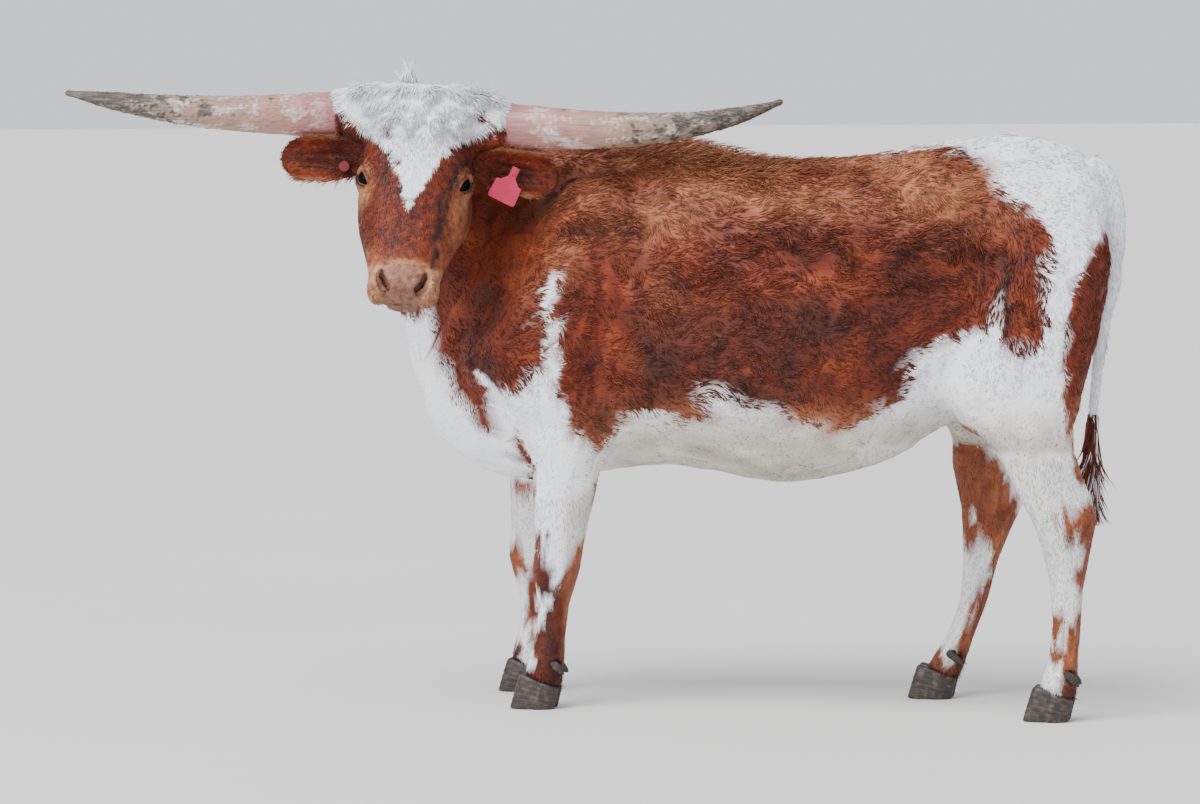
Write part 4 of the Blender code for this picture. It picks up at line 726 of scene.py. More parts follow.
def ear_arrays(side):
    """One ear as a thin cup: a flat oval carried outwards from the head and bent into a C that faces forwards.

    At share u of the length and angle a round the oval, the place across is width cos a and the depth is
    thickness sin a, plus cup times across squared over the half width; folds run along its hollow side.
    """
    rows, columns = 64, 72
    u = np.linspace(0, 1, rows)[:, None]
    a = np.arange(columns)[None] * 2 * math.pi / columns
    tip = EAR_TIPS[0] if side < 0 else EAR_TIPS[1]
    width = EAR_HALF_WIDTH * (0.56 + 0.44 * fade(u, 0.05, 0.50))
    width = width * np.sqrt(np.clip(1 - np.clip((u - 0.66) / 0.34, 0, 1) ** 2.3, 0.012, 1))
    thick = 0.0030 + 0.0150 * (1 - u) ** 2.4
    across = width * np.cos(a)
    cup = 0.85 * np.minimum(1.0, u * 2.2)
    deep = thick * np.sin(a) + cup * across**2 / EAR_HALF_WIDTH - cup * 0.024
    front = np.clip(np.sin(a), 0, 1)
    span = across / EAR_HALF_WIDTH
    for place, high, lean in ((-0.34, 0.0065, 0.30), (0.02, 0.0050, 0.10), (0.36, 0.0045, -0.25)):
        ridge = bump(span - place - lean * (u - 0.6), 0.10) * fade(u, 0.34, 0.50) * fade(-u, -0.93, -0.78)
        deep = deep + front * high * ridge
    hollow = bump(span + 0.10, 0.42) * bump(u - 0.52, 0.20)
    deep = deep - front * 0.006 * hollow
    rim = bump(np.abs(across) / np.maximum(width, 1e-6) - 1.0, 0.16)
    deep = deep + 0.0022 * rim * fade(u, 0.25, 0.45)
    out = EAR_ROOT - EAR_BURIED + (tip - EAR_ROOT + EAR_BURIED) * u
    base = np.stack([side * out[:, 0], np.full(rows, EAR_PLACE[0]), np.full(rows, EAR_PLACE[1])], 1)
    middle = from_head(base)[:, None] - (ROLL_UP * EAR_SAG) * (u**2)[..., None]
    co = middle + across[..., None] * ROLL_UP + deep[..., None] * AHEAD
    ends = np.stack([co[0].mean(0), co[-1].mean(0)])
    co = np.concatenate([co.reshape(-1, 3), ends])
    faces = capped(rows, columns)
    return co, faces if side > 0 else faces[:, ::-1]


def edge_pairs(triangles):
    """Each edge of the triangles once, as pairs of corners."""
    pairs = np.sort(np.concatenate([triangles[:, [0, 1]], triangles[:, [1, 2]], triangles[:, [2, 0]]]), axis=1)
    return np.unique(pairs, axis=0)


def smoothed(co, pairs, weight, rounds, back=0.0):
    """Moves each corner its weight times half way to the mean of its neighbours, again and again.

    back is how much of each move is then undone outwards, which keeps the form from shrinking.
    """
    count = len(co)
    degree = np.bincount(pairs.ravel(), minlength=count)[:, None]
    for _ in range(rounds):
        for share in (0.5, -back) if back else (0.5,):
            mean = np.stack([np.bincount(pairs[:, 0], co[pairs[:, 1], k], count)
                             + np.bincount(pairs[:, 1], co[pairs[:, 0], k], count) for k in range(3)], 1) / degree
            co = co + weight[:, None] * share * (mean - co)
    return co


def largest_part(co, triangles):
    """The surface's largest connected piece, so that no crumb of the joined solids floats beside it."""
    pairs = edge_pairs(triangles)
    label = np.arange(len(co))
    settled = False
    while not settled:
        lowest = np.minimum(label[pairs[:, 0]], label[pairs[:, 1]])
        new = label.copy()
        np.minimum.at(new, pairs[:, 0], lowest)
        np.minimum.at(new, pairs[:, 1], lowest)
        new = new[new]
        settled = bool((new == label).all())
        label = new
    keep = label == np.bincount(label).argmax()
    return co[keep], (np.cumsum(keep) - 1)[triangles[keep[triangles[:, 0]]]]


def spread_out(values, pairs, rounds):
    """One number a corner, evened out with its neighbours' again and again."""
    return smoothed(values[:, None] * np.ones(3), pairs, np.ones(len(values)), rounds)[:, 0]


def move_corners(obj, co):
    """Puts the mesh's corners at new places."""
    obj.data.vertices.foreach_set("co", co.astype(np.float32).ravel())
    obj.data.update()


def make_skin():
    """The hide under the coat: every flesh solid in one closed surface with no seam, and the two thin ears.

    The solids are joined by a voxel remesh, smoothed, drawn in by the coat's depth, and thinned where the form
    is plain. The face is made finer again, so that its folds and openings can be carved.
    """
    joined = put_mesh("joined", *flesh_arrays())
    remesh = joined.modifiers.new("remesh", "REMESH")
    remesh.mode, remesh.voxel_size = "VOXEL", VOXEL
    applied(joined)
    co, triangles, _ = mesh_arrays(joined.data)
    bpy.data.objects.remove(joined)
    co, triangles = largest_part(co, triangles)
    skin = put_mesh("skin", co, triangles)
    pairs = edge_pairs(triangles)
    part = regions(co)
    co = smoothed(co, pairs, np.where(part == FACE, 0.4, 1.0), SMOOTH_ROUNDS, SMOOTH_BACK)
    co = smoothed(co, pairs, spread_out((part == POLL).astype(float), pairs, 20), POLL_ROUNDS)
    move_corners(skin, co)
    co, triangles, normals = mesh_arrays(skin.data)
    # The coat's depth by region, evened out where regions meet.
    depth = np.select([part == FACE, part == POLL, np.isin(part, LEGS), part == TAIL],
                      [0.0018, 0.0020, 0.0022, 0.0060], 0.0050)
    move_corners(skin, co - normals * spread_out(depth, pairs, 12)[:, None])
    group = skin.vertex_groups.new(name="plain")
    group.add(np.flatnonzero(part < FACE).tolist(), 1.0, "REPLACE")
    thin = skin.modifiers.new("thin", "DECIMATE")
    thin.ratio = SKIN_TRIANGLES / len(triangles)
    thin.vertex_group, thin.vertex_group_factor = "plain", 8.0
    applied(skin)
    skin.vertex_groups.clear()
    refine_face(skin)
    add_ears(skin)
    return skin


def refine_face(skin):
    """Splits every edge of the muzzle and round the eyes, so that what is carved there is crisp."""
    wide, close = 0.055, 0.036
    work = bmesh.new()
    work.from_mesh(skin.data)
    bmesh.ops.triangulate(work, faces=work.faces)
    for reach in (wide, close):
        work.verts.ensure_lookup_table()
        co = np.array([v.co for v in work.verts])
        local = to_head(co)
        near = (local[:, 1] > 0.415 + (wide - reach)) & (regions(co) == FACE)
        for side in (-1, 1):
            near |= np.linalg.norm(local - eye_place(side), axis=1) < reach
        edges = [e for e in work.edges if near[e.verts[0].index] and near[e.verts[1].index]]
        bmesh.ops.subdivide_edges(work, edges=edges, cuts=1, smooth=0.0)
        bmesh.ops.triangulate(work, faces=[f for f in work.faces if len(f.verts) > 3])
    work.to_mesh(skin.data)
    work.free()


def add_ears(skin):
    """Joins both ears' surfaces to the skin, their roots inside the head."""
    co, triangles, _ = mesh_arrays(skin.data)
    is_ear = [np.zeros(len(co))]
    all_co, all_triangles, start = [co], [triangles], len(co)
    for side in (-1, 1):
        own_co, own_triangles = ear_arrays(side)
        all_co.append(own_co)
        all_triangles.append(own_triangles + start)
        is_ear.append(np.ones(len(own_co)))
        start += len(own_co)
    made = put_mesh("skin with ears", np.concatenate(all_co), np.concatenate(all_triangles))
    old, skin.data = skin.data, made.data
    bpy.data.objects.remove(made)
    bpy.data.meshes.remove(old)
    layer = skin.data.attributes.new("is_ear", "FLOAT", "POINT")
    layer.data.foreach_set("value", np.concatenate(is_ear).astype(np.float32))


def skin_parts(skin, co):
    """The region of each corner of the skin, the ears among them."""
    flag = np.empty(len(co), np.float32)
    skin.data.attributes["is_ear"].data.foreach_get("value", flag)
    return np.where(flag > 0.5, EARS, regions(co))


def sculpt(skin):
    """Raises and sinks the hide along its normals: neck folds, cowlicks, and the parts of the face.

    The rise is a sum of ripples, humps and folds in metres. The hide's colours are then worked out on it.
    """
    co, _, normals = mesh_arrays(skin.data)
    part = skin_parts(skin, co)
    side = seen(co)
    u, v = side.T
    x, y, z = co.T
    local = to_head(co)
    trunk = np.isin(part, TRUNK)
    near = y < MIDLINE
    rise = np.where(trunk, 0.0020 * ripple(co * (1.0, 1.0, 1.5), 0.075, 11) + 0.0010 * ripple(co, 0.032, 12), 0)
    wave = 0.6 * ripple(co, 0.06, 15)
    for at_u, at_v in COWLICKS:
        curl = bump(u - at_u + 3 * wave, 5.5) * (bump(v - at_v, 2.6) - 0.7 * bump(v - at_v + 4.2, 2.2))
        rise += np.where(trunk & near, 0.0040 * curl * (1 + 0.5 * wave), 0)
    ridge, hollow = curls(co, side)
    rise += np.where(trunk & near, 0.0065 * ridge - 0.0025 * hollow + 0.0040 * neck_folds(co), 0)
    rise += np.where(part == POLL, 0.0060 * fade(z, 1.34, 1.40), 0)
    far_fold = np.sin((x * 100 + 12 * (z - 1)) * 2 * math.pi / FAR_FOLD_WIDTH + 0.9 * ripple(co, 0.22, 14))
    far_reach = fade(x, -0.42, -0.34) * fade(-x, 0.05, 0.14) * fade(z, 0.7, 0.85)
    rise += np.where(trunk & ~near, 0.0035 * far_reach * far_fold, 0)
    rise += carve_face(local, part)
    move_corners(skin, eye_rims(co + normals * rise[:, None]))
    co, triangles, normals = mesh_arrays(skin.data)
    marks = markings(co, part)
    add_colour(skin, "marks", marks[:, :4])
    local = to_head(co)
    face = part == FACE
    # Painted shade inside the nostrils and along the mouth's line, and a little on the lips and chin, goes to the
    # hide's colour through the second share of its tuft attribute.
    hole = np.maximum(nostril_depth(local), 0.95 * mouth_gap(local)) * face
    under_lip = 1 - 0.30 * fade(local[:, 1], 0.458, 0.484) * face
    tone, along = 0.5 + 0.4 * ripple(co, 0.02, 21), 0.6 * (1 - hole) * under_lip
    add_colour(skin, "tuft", np.stack([tone, along, marks[:, 4]], 1))
    return co, triangles, normals, part


def nostril_depth(local):
    """How deep each place lies in a nostril's slit, 0 to 1, by its distance from the slit's line on the face."""
    flat = np.stack([np.abs(local[:, 0]), local[:, 1]], 1)
    return line_gap(NOSTRIL_SLIT, flat) * fade(local[:, 2], -0.085, -0.070)


def carve_face(local, part):
    """How far the face's skin rises: nostrils, their wings, the pad's edge, the mouth, brows, cheeks and creases.

    Each is a hump round a point, e to the minus square of its distance over its width, times its height in metres.
    """
    s, t, n = local.T
    both = np.stack([np.abs(s), t, n], 1)
    flat = both[:, :2]
    bowl = line_gap(NOSTRIL_BOWL, flat) * fade(n, -0.085, -0.070)
    wing = knob(flat, (0.0655, 0.458), 0.0075, (1.0, 0.45))
    inner = knob(flat, (0.0345, 0.448), 0.009, (1.0, 0.7))
    edge = bump(t - 0.4245, 0.0030) * (np.abs(s) < 0.055)
    lip = knob(both, (0.060, 0.484, -0.075), 0.017, (1.0, 0.8, 0.8))
    horn_base = knob(both, (0.112, 0.080, -0.085), 0.030)
    dimples = 0.0005 * ripple(local, 0.006, 61) * fade(t, 0.42, 0.45)
    rise = (-0.0125 * nostril_depth(local) - 0.0055 * bowl + 0.0040 * wing + 0.0022 * inner - 0.0012 * edge
            - 0.0075 * mouth_gap(local) + 0.0060 * lip + 0.0110 * horn_base + dimples)
    rise = rise - 0.0010 * bump(s, 0.0022) * fade(t, 0.478, 0.486)
    for side in (-1, 1):
        off = local - eye_place(side)
        away = np.linalg.norm(off, axis=1)
        creases = 0.0008 * np.sin((away - 0.024) * 2 * math.pi / 0.0055) * fade(-away, -0.042, -0.034)
        brow = 0.0045 * knob(off, (-side * 0.008, -0.034, 0.024), 0.020)
        under = 0.0030 * knob(off, (-side * 0.004, 0.045, 0.020), 0.018)
        rise = rise + creases + brow - under
    return np.where(part == FACE, rise, 0)


def eye_rims(co):
    """Fits the skin round the eyeballs: out to just above the ball, but into it where the lids are open."""
    above, below, reach = 0.0008, 0.0030, 0.016
    for side in (-1, 1):
        centre, axes = lid_frame(side)
        off = co - centre
        far = np.linalg.norm(off, axis=1, keepdims=True)
        own = off / np.maximum(far, 1e-6) @ axes.T * EYE_RADIUS
        inside = ((lid_spread(own) < 1.30) & (own[:, 0] > 0))[:, None]
        wanted = np.where(inside, EYE_RADIUS - below, np.maximum(far, EYE_RADIUS + above))
        co = np.where(far < EYE_RADIUS + reach, centre + off / np.maximum(far, 1e-6) * wanted, co)
    return co


# Each kind of coat: tufts a square metre, their length and width and how far they stand off in metres, how much they
# curve with the body, 1 over the curve's radius in metres, and how many rings of corners each has.
SHORT_COAT = {
    "near_side": (31000, 0.0215, 0.0029, 0.0019, 2.5, 3),
    "far_side": (13500, 0.0250, 0.0044, 0.0022, 2.5, 3),
    "near_neck": (27000, 0.0130, 0.0023, 0.0012, 3.0, 3),
    "far_neck": (13000, 0.0240, 0.0044, 0.0022, 3.0, 3),
    "near_foreleg": (72000, 0.0120, 0.0024, 0.0010, 0.0, 2),
    "far_foreleg": (52000, 0.0120, 0.0026, 0.0010, 0.0, 2),
    "near_hindleg": (64000, 0.0130, 0.0025, 0.0011, 0.0, 2),
    "far_hindleg": (47000, 0.0130, 0.0026, 0.0011, 0.0, 2),
    "tail": (38000, 0.0190, 0.0026, 0.0008, 0.0, 4),
    "face": (84000, 0.0110, 0.0019, 0.0008, 6.0, 3),
    "poll": (82000, 0.0420, 0.0025, 0.0020, 9.0, 4),
    "ears": (80000, 0.0080, 0.0017, 0.0012, 0.0, 3),
}


def lie(points, normals, part):
    """Which way the hair lies: a direction for each region, turned by soft ripples and laid along the surface.

    The body's directions are X and height, from the head back and down; the face's run out from the whorl.
    """
    x, z = points[:, 0], points[:, 2]
    local = to_head(points)
    way = np.stack([np.ones(len(x)), np.zeros(len(x)), np.full(len(x), -0.28)], 1)
    rump = (fade(x, 0.78, 0.95) * fade(-z, -1.22, -0.95))[:, None]
    way = way * (1 - rump) + np.array([0.18, 0.0, -1.0]) * rump
    way = np.where(np.isin(part, (NEAR_NECK, FAR_NECK))[:, None], np.array([0.75, 0.0, -0.62]), way)
    chest = (fade(-z, -0.85, -0.70) * fade(-x, 0.12, 0.22))[:, None]
    way = way * (1 - chest) + np.array([0.25, 0.0, -1.0]) * chest
    spread = local - WHORL
    spread[:, 2] *= 0.3
    _, height = ear_place(points)
    for own, there in ((np.isin(part, LEGS), np.array([0.12, 0.0, -1.0])),
                       (part == TAIL, np.array([0.06, 0.0, -1.0])),
                       (part == FACE, unit(spread * (1.0, 0.4, 1.0) + (0, 0.10, 0)) @ HEAD_AXES),
                       (part == POLL, unit(spread) @ HEAD_AXES),
                       (part == EARS, np.sign(local[:, :1]) * LEFT * 0.8 + (height[:, None] * 0.9 - 0.25) * ROLL_UP)):
        way = np.where(own[:, None], there, way)
    way = unit(way - normals * (way * normals).sum(1, keepdims=True))
    sway = 0.55 * ripple(points, 0.11, 31) + 0.40 * ripple(points, 0.035, 32)
    sway = sway * np.select([part == NEAR_NECK, np.isin(part, TRUNK), part == FACE, part == POLL],
                            [0.28, 1.0, 0.35, 0.45], 0.4)
    across = np.cross(normals, way)
    return unit(way * np.cos(sway)[:, None] + across * np.sin(sway)[:, None])


def lashes(side, finish):
    """The lashes of the upper lid: a row of fine tapering hairs that stand out from its rim and droop."""
    draw = np.random.default_rng(70 + side)
    count = 70
    centre, axes = lid_frame(side)
    turn = math.pi * (1.12 + 0.76 * np.linspace(0, 1, count)) + draw.normal(0, 0.02, count)
    along, across = LID_OPENING[0] * 1.02 * np.cos(turn), LID_OPENING[1] * 1.05 * np.sin(turn)
    out = np.sqrt(np.maximum((EYE_RADIUS + 0.0022) ** 2 - along**2 - across**2, 1e-6))
    root = centre + np.stack([out, along, across], 1) @ axes
    way = unit(np.stack([np.full(count, 0.8), 0.35 * np.cos(turn), np.full(count, -0.55)], 1)) @ axes
    normal = unit(np.cross(way, np.tile(axes[1], (count, 1))))
    marks = np.zeros((count, 5))
    marks[:, 1] = 0.9
    piece = locks("lashes_" + SIDE_NAMES[side], root, normal, way, draw.uniform(0.007, 0.011, count),
                  np.full(count, 0.0007), np.zeros(count), np.full(count, 30.0), 4, marks, draw, "face")
    piece.data.materials.append(finish)
    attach(piece, "root")
    return piece


def planted(co, triangles, normals, density, draw):
    """Roots drawn evenly over the triangles: a mean count each from area times density, and even places in each."""
    corners = co[triangles]
    area = 0.5 * np.linalg.norm(np.cross(corners[:, 1] - corners[:, 0], corners[:, 2] - corners[:, 0]), axis=1)
    count = np.floor(area * density + draw.random(len(area))).astype(int)
    at = np.repeat(np.arange(len(area)), count)
    a, b = draw.random((2, len(at)))
    over = a + b > 1
    a, b = np.where(over, 1 - a, a), np.where(over, 1 - b, b)
    shares = np.stack([1 - a - b, a, b], 1)[:, :, None]
    return (corners[at] * shares).sum(1), unit((normals[triangles[at]] * shares).sum(1))


def chart(points, name):
    """An unwrap of a region's own shape: the angle round its middle line, and the way along it, each 0 to 1."""
    x, y, z = points.T
    local = to_head(points)
    if name in ("face", "poll", "ears"):
        turn = np.arctan2(local[:, 0], local[:, 2] + 0.12) / (2 * math.pi) + 0.5
        return np.stack([turn, (local[:, 1] + 0.14) / 0.70], 1)
    if "leg" in name or name == "tail":
        turn = np.arctan2(y - np.median(y), x - np.median(x)) / (2 * math.pi) + 0.5
        return np.stack([turn, z / 1.30], 1)
    turn = np.arctan2(y - MIDLINE, z - 0.88) / math.pi
    return np.stack([np.abs(turn) * 0.96 + 0.02, (x + 0.62) / 1.90], 1)


def locks(name, root, normal, way, length, width, stand, hug, rings, marks, draw, region):
    """One joined mesh of hair tufts: each a thin three-sided blade that bends with the body and ends in a point.

    A blade's middle at share t is root + way sin(hug l t) / hug - normal (1 - cos(hug l t)) / hug, raised by
    stand (1.6 t - 0.6 t squared) and swayed sideways by t squared; its width falls to nothing at the tip.
    """
    count = len(root)
    across = np.cross(normal, way)
    bend = np.maximum(hug, 0.05)
    sideways = draw.normal(0, 0.16, count)
    share = np.linspace(0, 1, rings)
    girth = np.interp(share, (0, 0.35, 0.7, 1), (0.75, 1.0, 0.72, 0.0))
    co = np.empty((count, 3 * (rings - 1) + 1, 3))
    along = np.empty((count, 3 * (rings - 1) + 1))
    for k, (t, fat) in enumerate(zip(share, girth)):
        angle = (bend * length * t)[:, None]
        middle = root + way * np.sin(angle) / bend[:, None] - normal * (1 - np.cos(angle)) / bend[:, None]
        middle = middle + normal * (stand * (1.6 * t - 0.6 * t * t) - 0.0012 * (1 - t))[:, None]
        middle = middle + across * (sideways * length * t * t)[:, None]
        if k == rings - 1:
            co[:, -1], along[:, -1] = middle, 1.0
            break
        half = (width * fat / 2)[:, None]
        co[:, 3 * k] = middle - across * half
        co[:, 3 * k + 1] = middle + across * half
        co[:, 3 * k + 2] = middle + normal * half * 0.55
        along[:, 3 * k: 3 * k + 3] = t
    base = 3 * np.arange(rings - 2)[:, None, None]
    quads = np.array([[0, 1, 4, 3], [1, 2, 5, 4], [2, 0, 3, 5]])[None] + base
    quads = quads.reshape(-1, 4)
    tip = 3 * (rings - 1)
    last = tip - 3
    faces = np.concatenate([[[0, 2, 1]], quads[:, [0, 1, 2]], quads[:, [0, 2, 3]],
                            [[last, last + 1, tip], [last + 1, last + 2, tip], [last + 2, last, tip]]])
    step = 3 * (rings - 1) + 1
    every = (faces[None] + step * np.arange(count)[:, None, None]).reshape(-1, 3)
    made = put_mesh(name, co.reshape(-1, 3), every)
    place = chart(root, region)
    patch = np.zeros((step, 2))
    patch[:, 0] = (np.arange(step) % 3 - 1) * 0.001
    patch[:, 1] = np.repeat(share, 3)[:step] * 0.003 - 0.0015
    uv = (place[:, None] + patch[None]).reshape(-1, 2)
    layer = made.data.uv_layers.new(name="OFBake")
    layer.data.foreach_set("uv", uv[every.ravel()].astype(np.float32).ravel())
    tone = np.repeat(draw.random(count), step)
    add_colour(made, "tuft", np.stack([tone, along.ravel(), np.repeat(marks[:, 4], step)], 1))
    add_colour(made, "marks", np.repeat(marks[:, :4], step, axis=0))
    return made


def make_coat(co, triangles, normals, part, finish):
    """The winter coat over the skin: tufts in one or more pieces for each region, none on the nose, lids and tag.

    Roots are drawn over the skin by the region's density, which falls to nothing where the skin is bare.
    """
    most, clear = 190000, 0.004
    middle = co[triangles].mean(1)
    part = part[triangles[:, 0]]
    pieces = []
    for number, name in enumerate(REGIONS):
        draw = np.random.default_rng(100 + number)
        tufts, *table, hug, rings = SHORT_COAT[name]
        density = np.where(part == number, float(tufts), 0.0)
        if number == FACE:
            density *= 1 - np.clip(bare(part, to_head(middle)) * 1.6, 0, 1)
            for side in (-1, 1):
                centre, axes = lid_frame(side)
                own = (middle - centre) @ axes.T
                open_by = lid_spread(own)
                density *= np.where((own[:, 0] > 0) & (open_by < 3.0), fade(open_by, 1.25, 1.6), 1.0)
        if number == EARS:
            low, high = np.array(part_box("ear_tag"))
            density *= ~((middle > low - clear) & (middle < high + clear)).all(1)
        keep = density > 0
        root, normal = planted(co, triangles[keep], normals, density[keep], draw)
        where = np.full(len(root), number)
        way = lie(root, normal, where)
        marks = markings(root, where)
        size, girth, lift = tuft_sizes(name, table, root, normal, marks, draw)
        parts = math.ceil(len(root) * (6 * rings - 8) / most)
        slices = np.minimum(chart(root, name)[:, 1].argsort().argsort() * parts // max(1, len(root)), parts - 1)
        for k in range(parts):
            own = slices == k
            word = "coat_" + name + (f"_{k + 1}" if parts > 1 else "")
            piece = locks(word, root[own], normal[own], way[own], size[own], girth[own], lift[own],
                          np.full(own.sum(), float(hug)), rings, marks[own], draw, name)
            piece.data.materials.append(finish)
            pieces.append(piece)
    return pieces


def tuft_sizes(name, table, root, normal, marks, draw):
    """Length, width and stand of each tuft of a region: its table's values, varied as the photograph's coat is.

    Each is the table's value times a seeded draw, then times or plus smooth steps and humps in the body's places.
    """
    length, width, stand = table
    x, y, z = root.T
    size = draw.uniform(0.75, 1.25, len(root)) * length
    girth = draw.uniform(0.75, 1.25, len(root)) * width
    lift = stand * (1 + 0.5 * draw.normal(size=len(root)).clip(-1.5, 2.5))
    side = seen(root)
    u, v = side.T
    white = marks[:, 0]
    local = to_head(root)
    if REGIONS.index(name) in TRUNK:
        red = 1 - white
        clump = 0.6 * fade(ripple(root * (1, 1, 1.6), 0.055, 41), 0.4, 1.1) * red
        for at_u, at_v in COWLICKS:
            clump = clump + 0.7 * bump(u - at_u, 6.5) * bump(v - at_v, 3.0) * red * (y < MIDLINE)
        raised, sunk = curls(root, side)
        clump = clump + (1.3 * raised + 0.5 * sunk) * red
        clump = clump * (1 - 0.85 * (fade(-u, 8, 15) if name == "near_neck" else 0.0))
        ridge = bump(x - 0.24, 0.20) * fade(normal[:, 2], 0.60, 0.90)
        lift = lift * (1 - 0.55 * white) + 0.0045 * clump + 0.0300 * ridge * draw.random(len(root))
        legs = np.where(x < FORELEG_END, fade(-z, -0.78, -0.52), fade(-z, -0.86, -0.62))
        size = size * (1 + 0.35 * clump + 1.3 * ridge) * (1 - 0.30 * white) * (1 - 0.40 * legs)
        girth = girth * (1 - 0.15 * legs)
        lift = lift * (1 - 0.50 * legs)
    if "leg" in name:
        knee = bump(z - 0.30, 0.12) if "fore" in name else 0.0
        coronet = fade(-z, -0.105, -0.070)
        size = size * np.where(z < 0.35, 0.85, 1.0) * (1 - 0.35 * knee) * (1 + 0.9 * coronet)
        lift = lift + 0.0030 * coronet
    if name == "face":
        small = 1 - 0.45 * fade(local[:, 1], 0.33, 0.43)
        fluff = white * fade(-local[:, 1], -0.22, -0.06)
        size, girth = size * small * (1 + 1.3 * fluff), girth * small * (1 + 0.30 * fluff)
        lift = lift + 0.0016 * fluff
        for way in (-1, 1):
            away = np.linalg.norm(local - eye_place(way), axis=1)
            size = size * (1 - 0.45 * fade(-away, -0.045, -0.028))
        both = np.abs(local * (1, 0, 0)) + local * (0, 1, 1)
        rooted = knob(both, (0.112, 0.085, -0.085), 0.036)
        size = size * (1 + 1.8 * rooted * (1 - white))
        lift = lift + 0.0030 * rooted * draw.random(len(root))
    if name == "poll":
        toward = fade(local[:, 1], -0.01, 0.10)
        size, lift, girth = size * (1 - 0.50 * toward), lift * (1 - 0.50 * toward), girth * (1 - 0.20 * toward)
    if name == "ears":
        along, height = ear_place(root)
        rooted = fade(-along, -0.58, -0.20) * fade(normal @ AHEAD, -0.1, 0.3)
        rim = fade(np.abs(height), 0.70, 0.95) * fade(along, 0.2, 0.4)
        size = size * (1 + 2.8 * rooted * draw.random(len(root)) + (1.0 + 0.8 * (height < 0)) * rim)
        lift = lift + 0.0060 * rooted * draw.random(len(root)) + 0.0015 * rim
    return size, girth, lift


def make_tuft(co, finish):
    """The tuft on top of the poll: long soft hairs that rise from its highest place and fan out to both sides."""
    draw = np.random.default_rng(17)
    count = 110
    local = to_head(co)
    peak = co[np.argmax(np.where(np.abs(local[:, 0] + 0.024) < 0.012, co[:, 2], -1.0))]
    spread = draw.normal(0, 1, (count, 2)).clip(-1.8, 1.8)
    root = peak + LEFT * (0.011 * spread[:, :1]) + AHEAD * (0.008 * spread[:, 1:] + 0.008) - UP * 0.008
    tall = draw.uniform(0.024, 0.062, count) * (1 - 0.25 * np.abs(spread[:, 0]))
    fan = spread[:, :1] * np.sign(draw.random((count, 1)) - 0.25)
    way = unit(UP - LEFT * (0.20 * fan + 0.06) - AHEAD * (0.10 * spread[:, 1:] + 0.05))
    normal = unit(np.cross(way, np.tile(LEFT, (count, 1))))
    marks = np.zeros((count, 5))
    marks[:, 0] = 1.0
    piece = locks("coat_tuft", root, normal, way, tall, draw.uniform(0.0022, 0.0036, count),
                  np.zeros(count), draw.uniform(1.0, 7.0, count), 5, marks, draw, "poll")
    piece.data.materials.append(finish)
    return piece


def make_switch(finish):
    """The tail's switch: long locks that hang from rings round its core, red-brown with pale strands outside."""
    draw = np.random.default_rng(7)
    height, x, thick = np.array(SWITCH_CORE).T
    count, reach, lowest = 1400, 0.185, 0.418
    share = draw.random(count) ** 0.9
    z = SWITCH_CORE[0][0] - reach * share
    angle = draw.uniform(0, 2 * math.pi, count)
    out = np.stack([np.cos(angle), np.sin(angle), np.zeros(count)], 1)
    radius = np.interp(-z, -height, thick) * draw.uniform(0.3, 0.95, count)
    root = np.stack([np.interp(-z, -height, x), np.zeros(count), z], 1) + SHIFT + out * radius[:, None]
    way = unit(out * 0.02 + np.array([-0.03, 0.0, -1.0]) + 0.022 * draw.normal(size=(count, 3)))
    normal = unit(out - way * (out * way).sum(1, keepdims=True))
    length = np.minimum(draw.uniform(0.10, 0.17, count), root[:, 2] - lowest)
    pale = fade(out[:, 0] + 0.25 * draw.normal(size=count), 0.45, 0.75) * fade(z, 0.50, 0.60)
    marks = np.zeros((count, 5))
    marks[:, 0], marks[:, 1] = pale, 0.45 * draw.random(count)
    stand = 0.004 * draw.uniform(0.3, 1.3, count)
    piece = locks("coat_switch", root, normal, way, length, draw.uniform(0.004, 0.008, count), stand,
                  np.full(count, 1.0), 6, marks, draw, "tail")
    piece.data.materials.append(finish)
    return piece


def linear(code):
    """An sRGB hex colour as linear red, green, blue and alpha."""
    values = [int(code[k: k + 2], 16) / 255 for k in (1, 3, 5)]
    return (*(v / 12.92 if v <= 0.04045 else ((v + 0.055) / 1.055) ** 2.4 for v in values), 1.0)


def add_node(tree, kind, settings=(), links=()):
    """Adds a node, sets its own properties, a ramp's stops and its sockets' values, and links outputs to it."""
    made = tree.nodes.new("ShaderNode" + kind)
    for name, value in dict(settings).items():
        if name == "stops":
            points = made.color_ramp.elements
            while len(points) < len(value):
                points.new(0.5)
            for point, (place, colour) in zip(points, value):
                point.position, point.color = place, linear(colour)
        elif isinstance(name, str) and hasattr(made, name):
            setattr(made, name, value)
        else:
            made.inputs[name].default_value = value
    for name, source in dict(links).items():
        tree.links.new(source, made.inputs[name])
    return made


def new_finish(name):
    """A material with only its surface shader, its tree of nodes, and that shader."""
    made = bpy.data.materials.new(name)
    made.use_nodes = True
    shader = made.node_tree.nodes["Principled BSDF"]
    return made, made.node_tree, shader


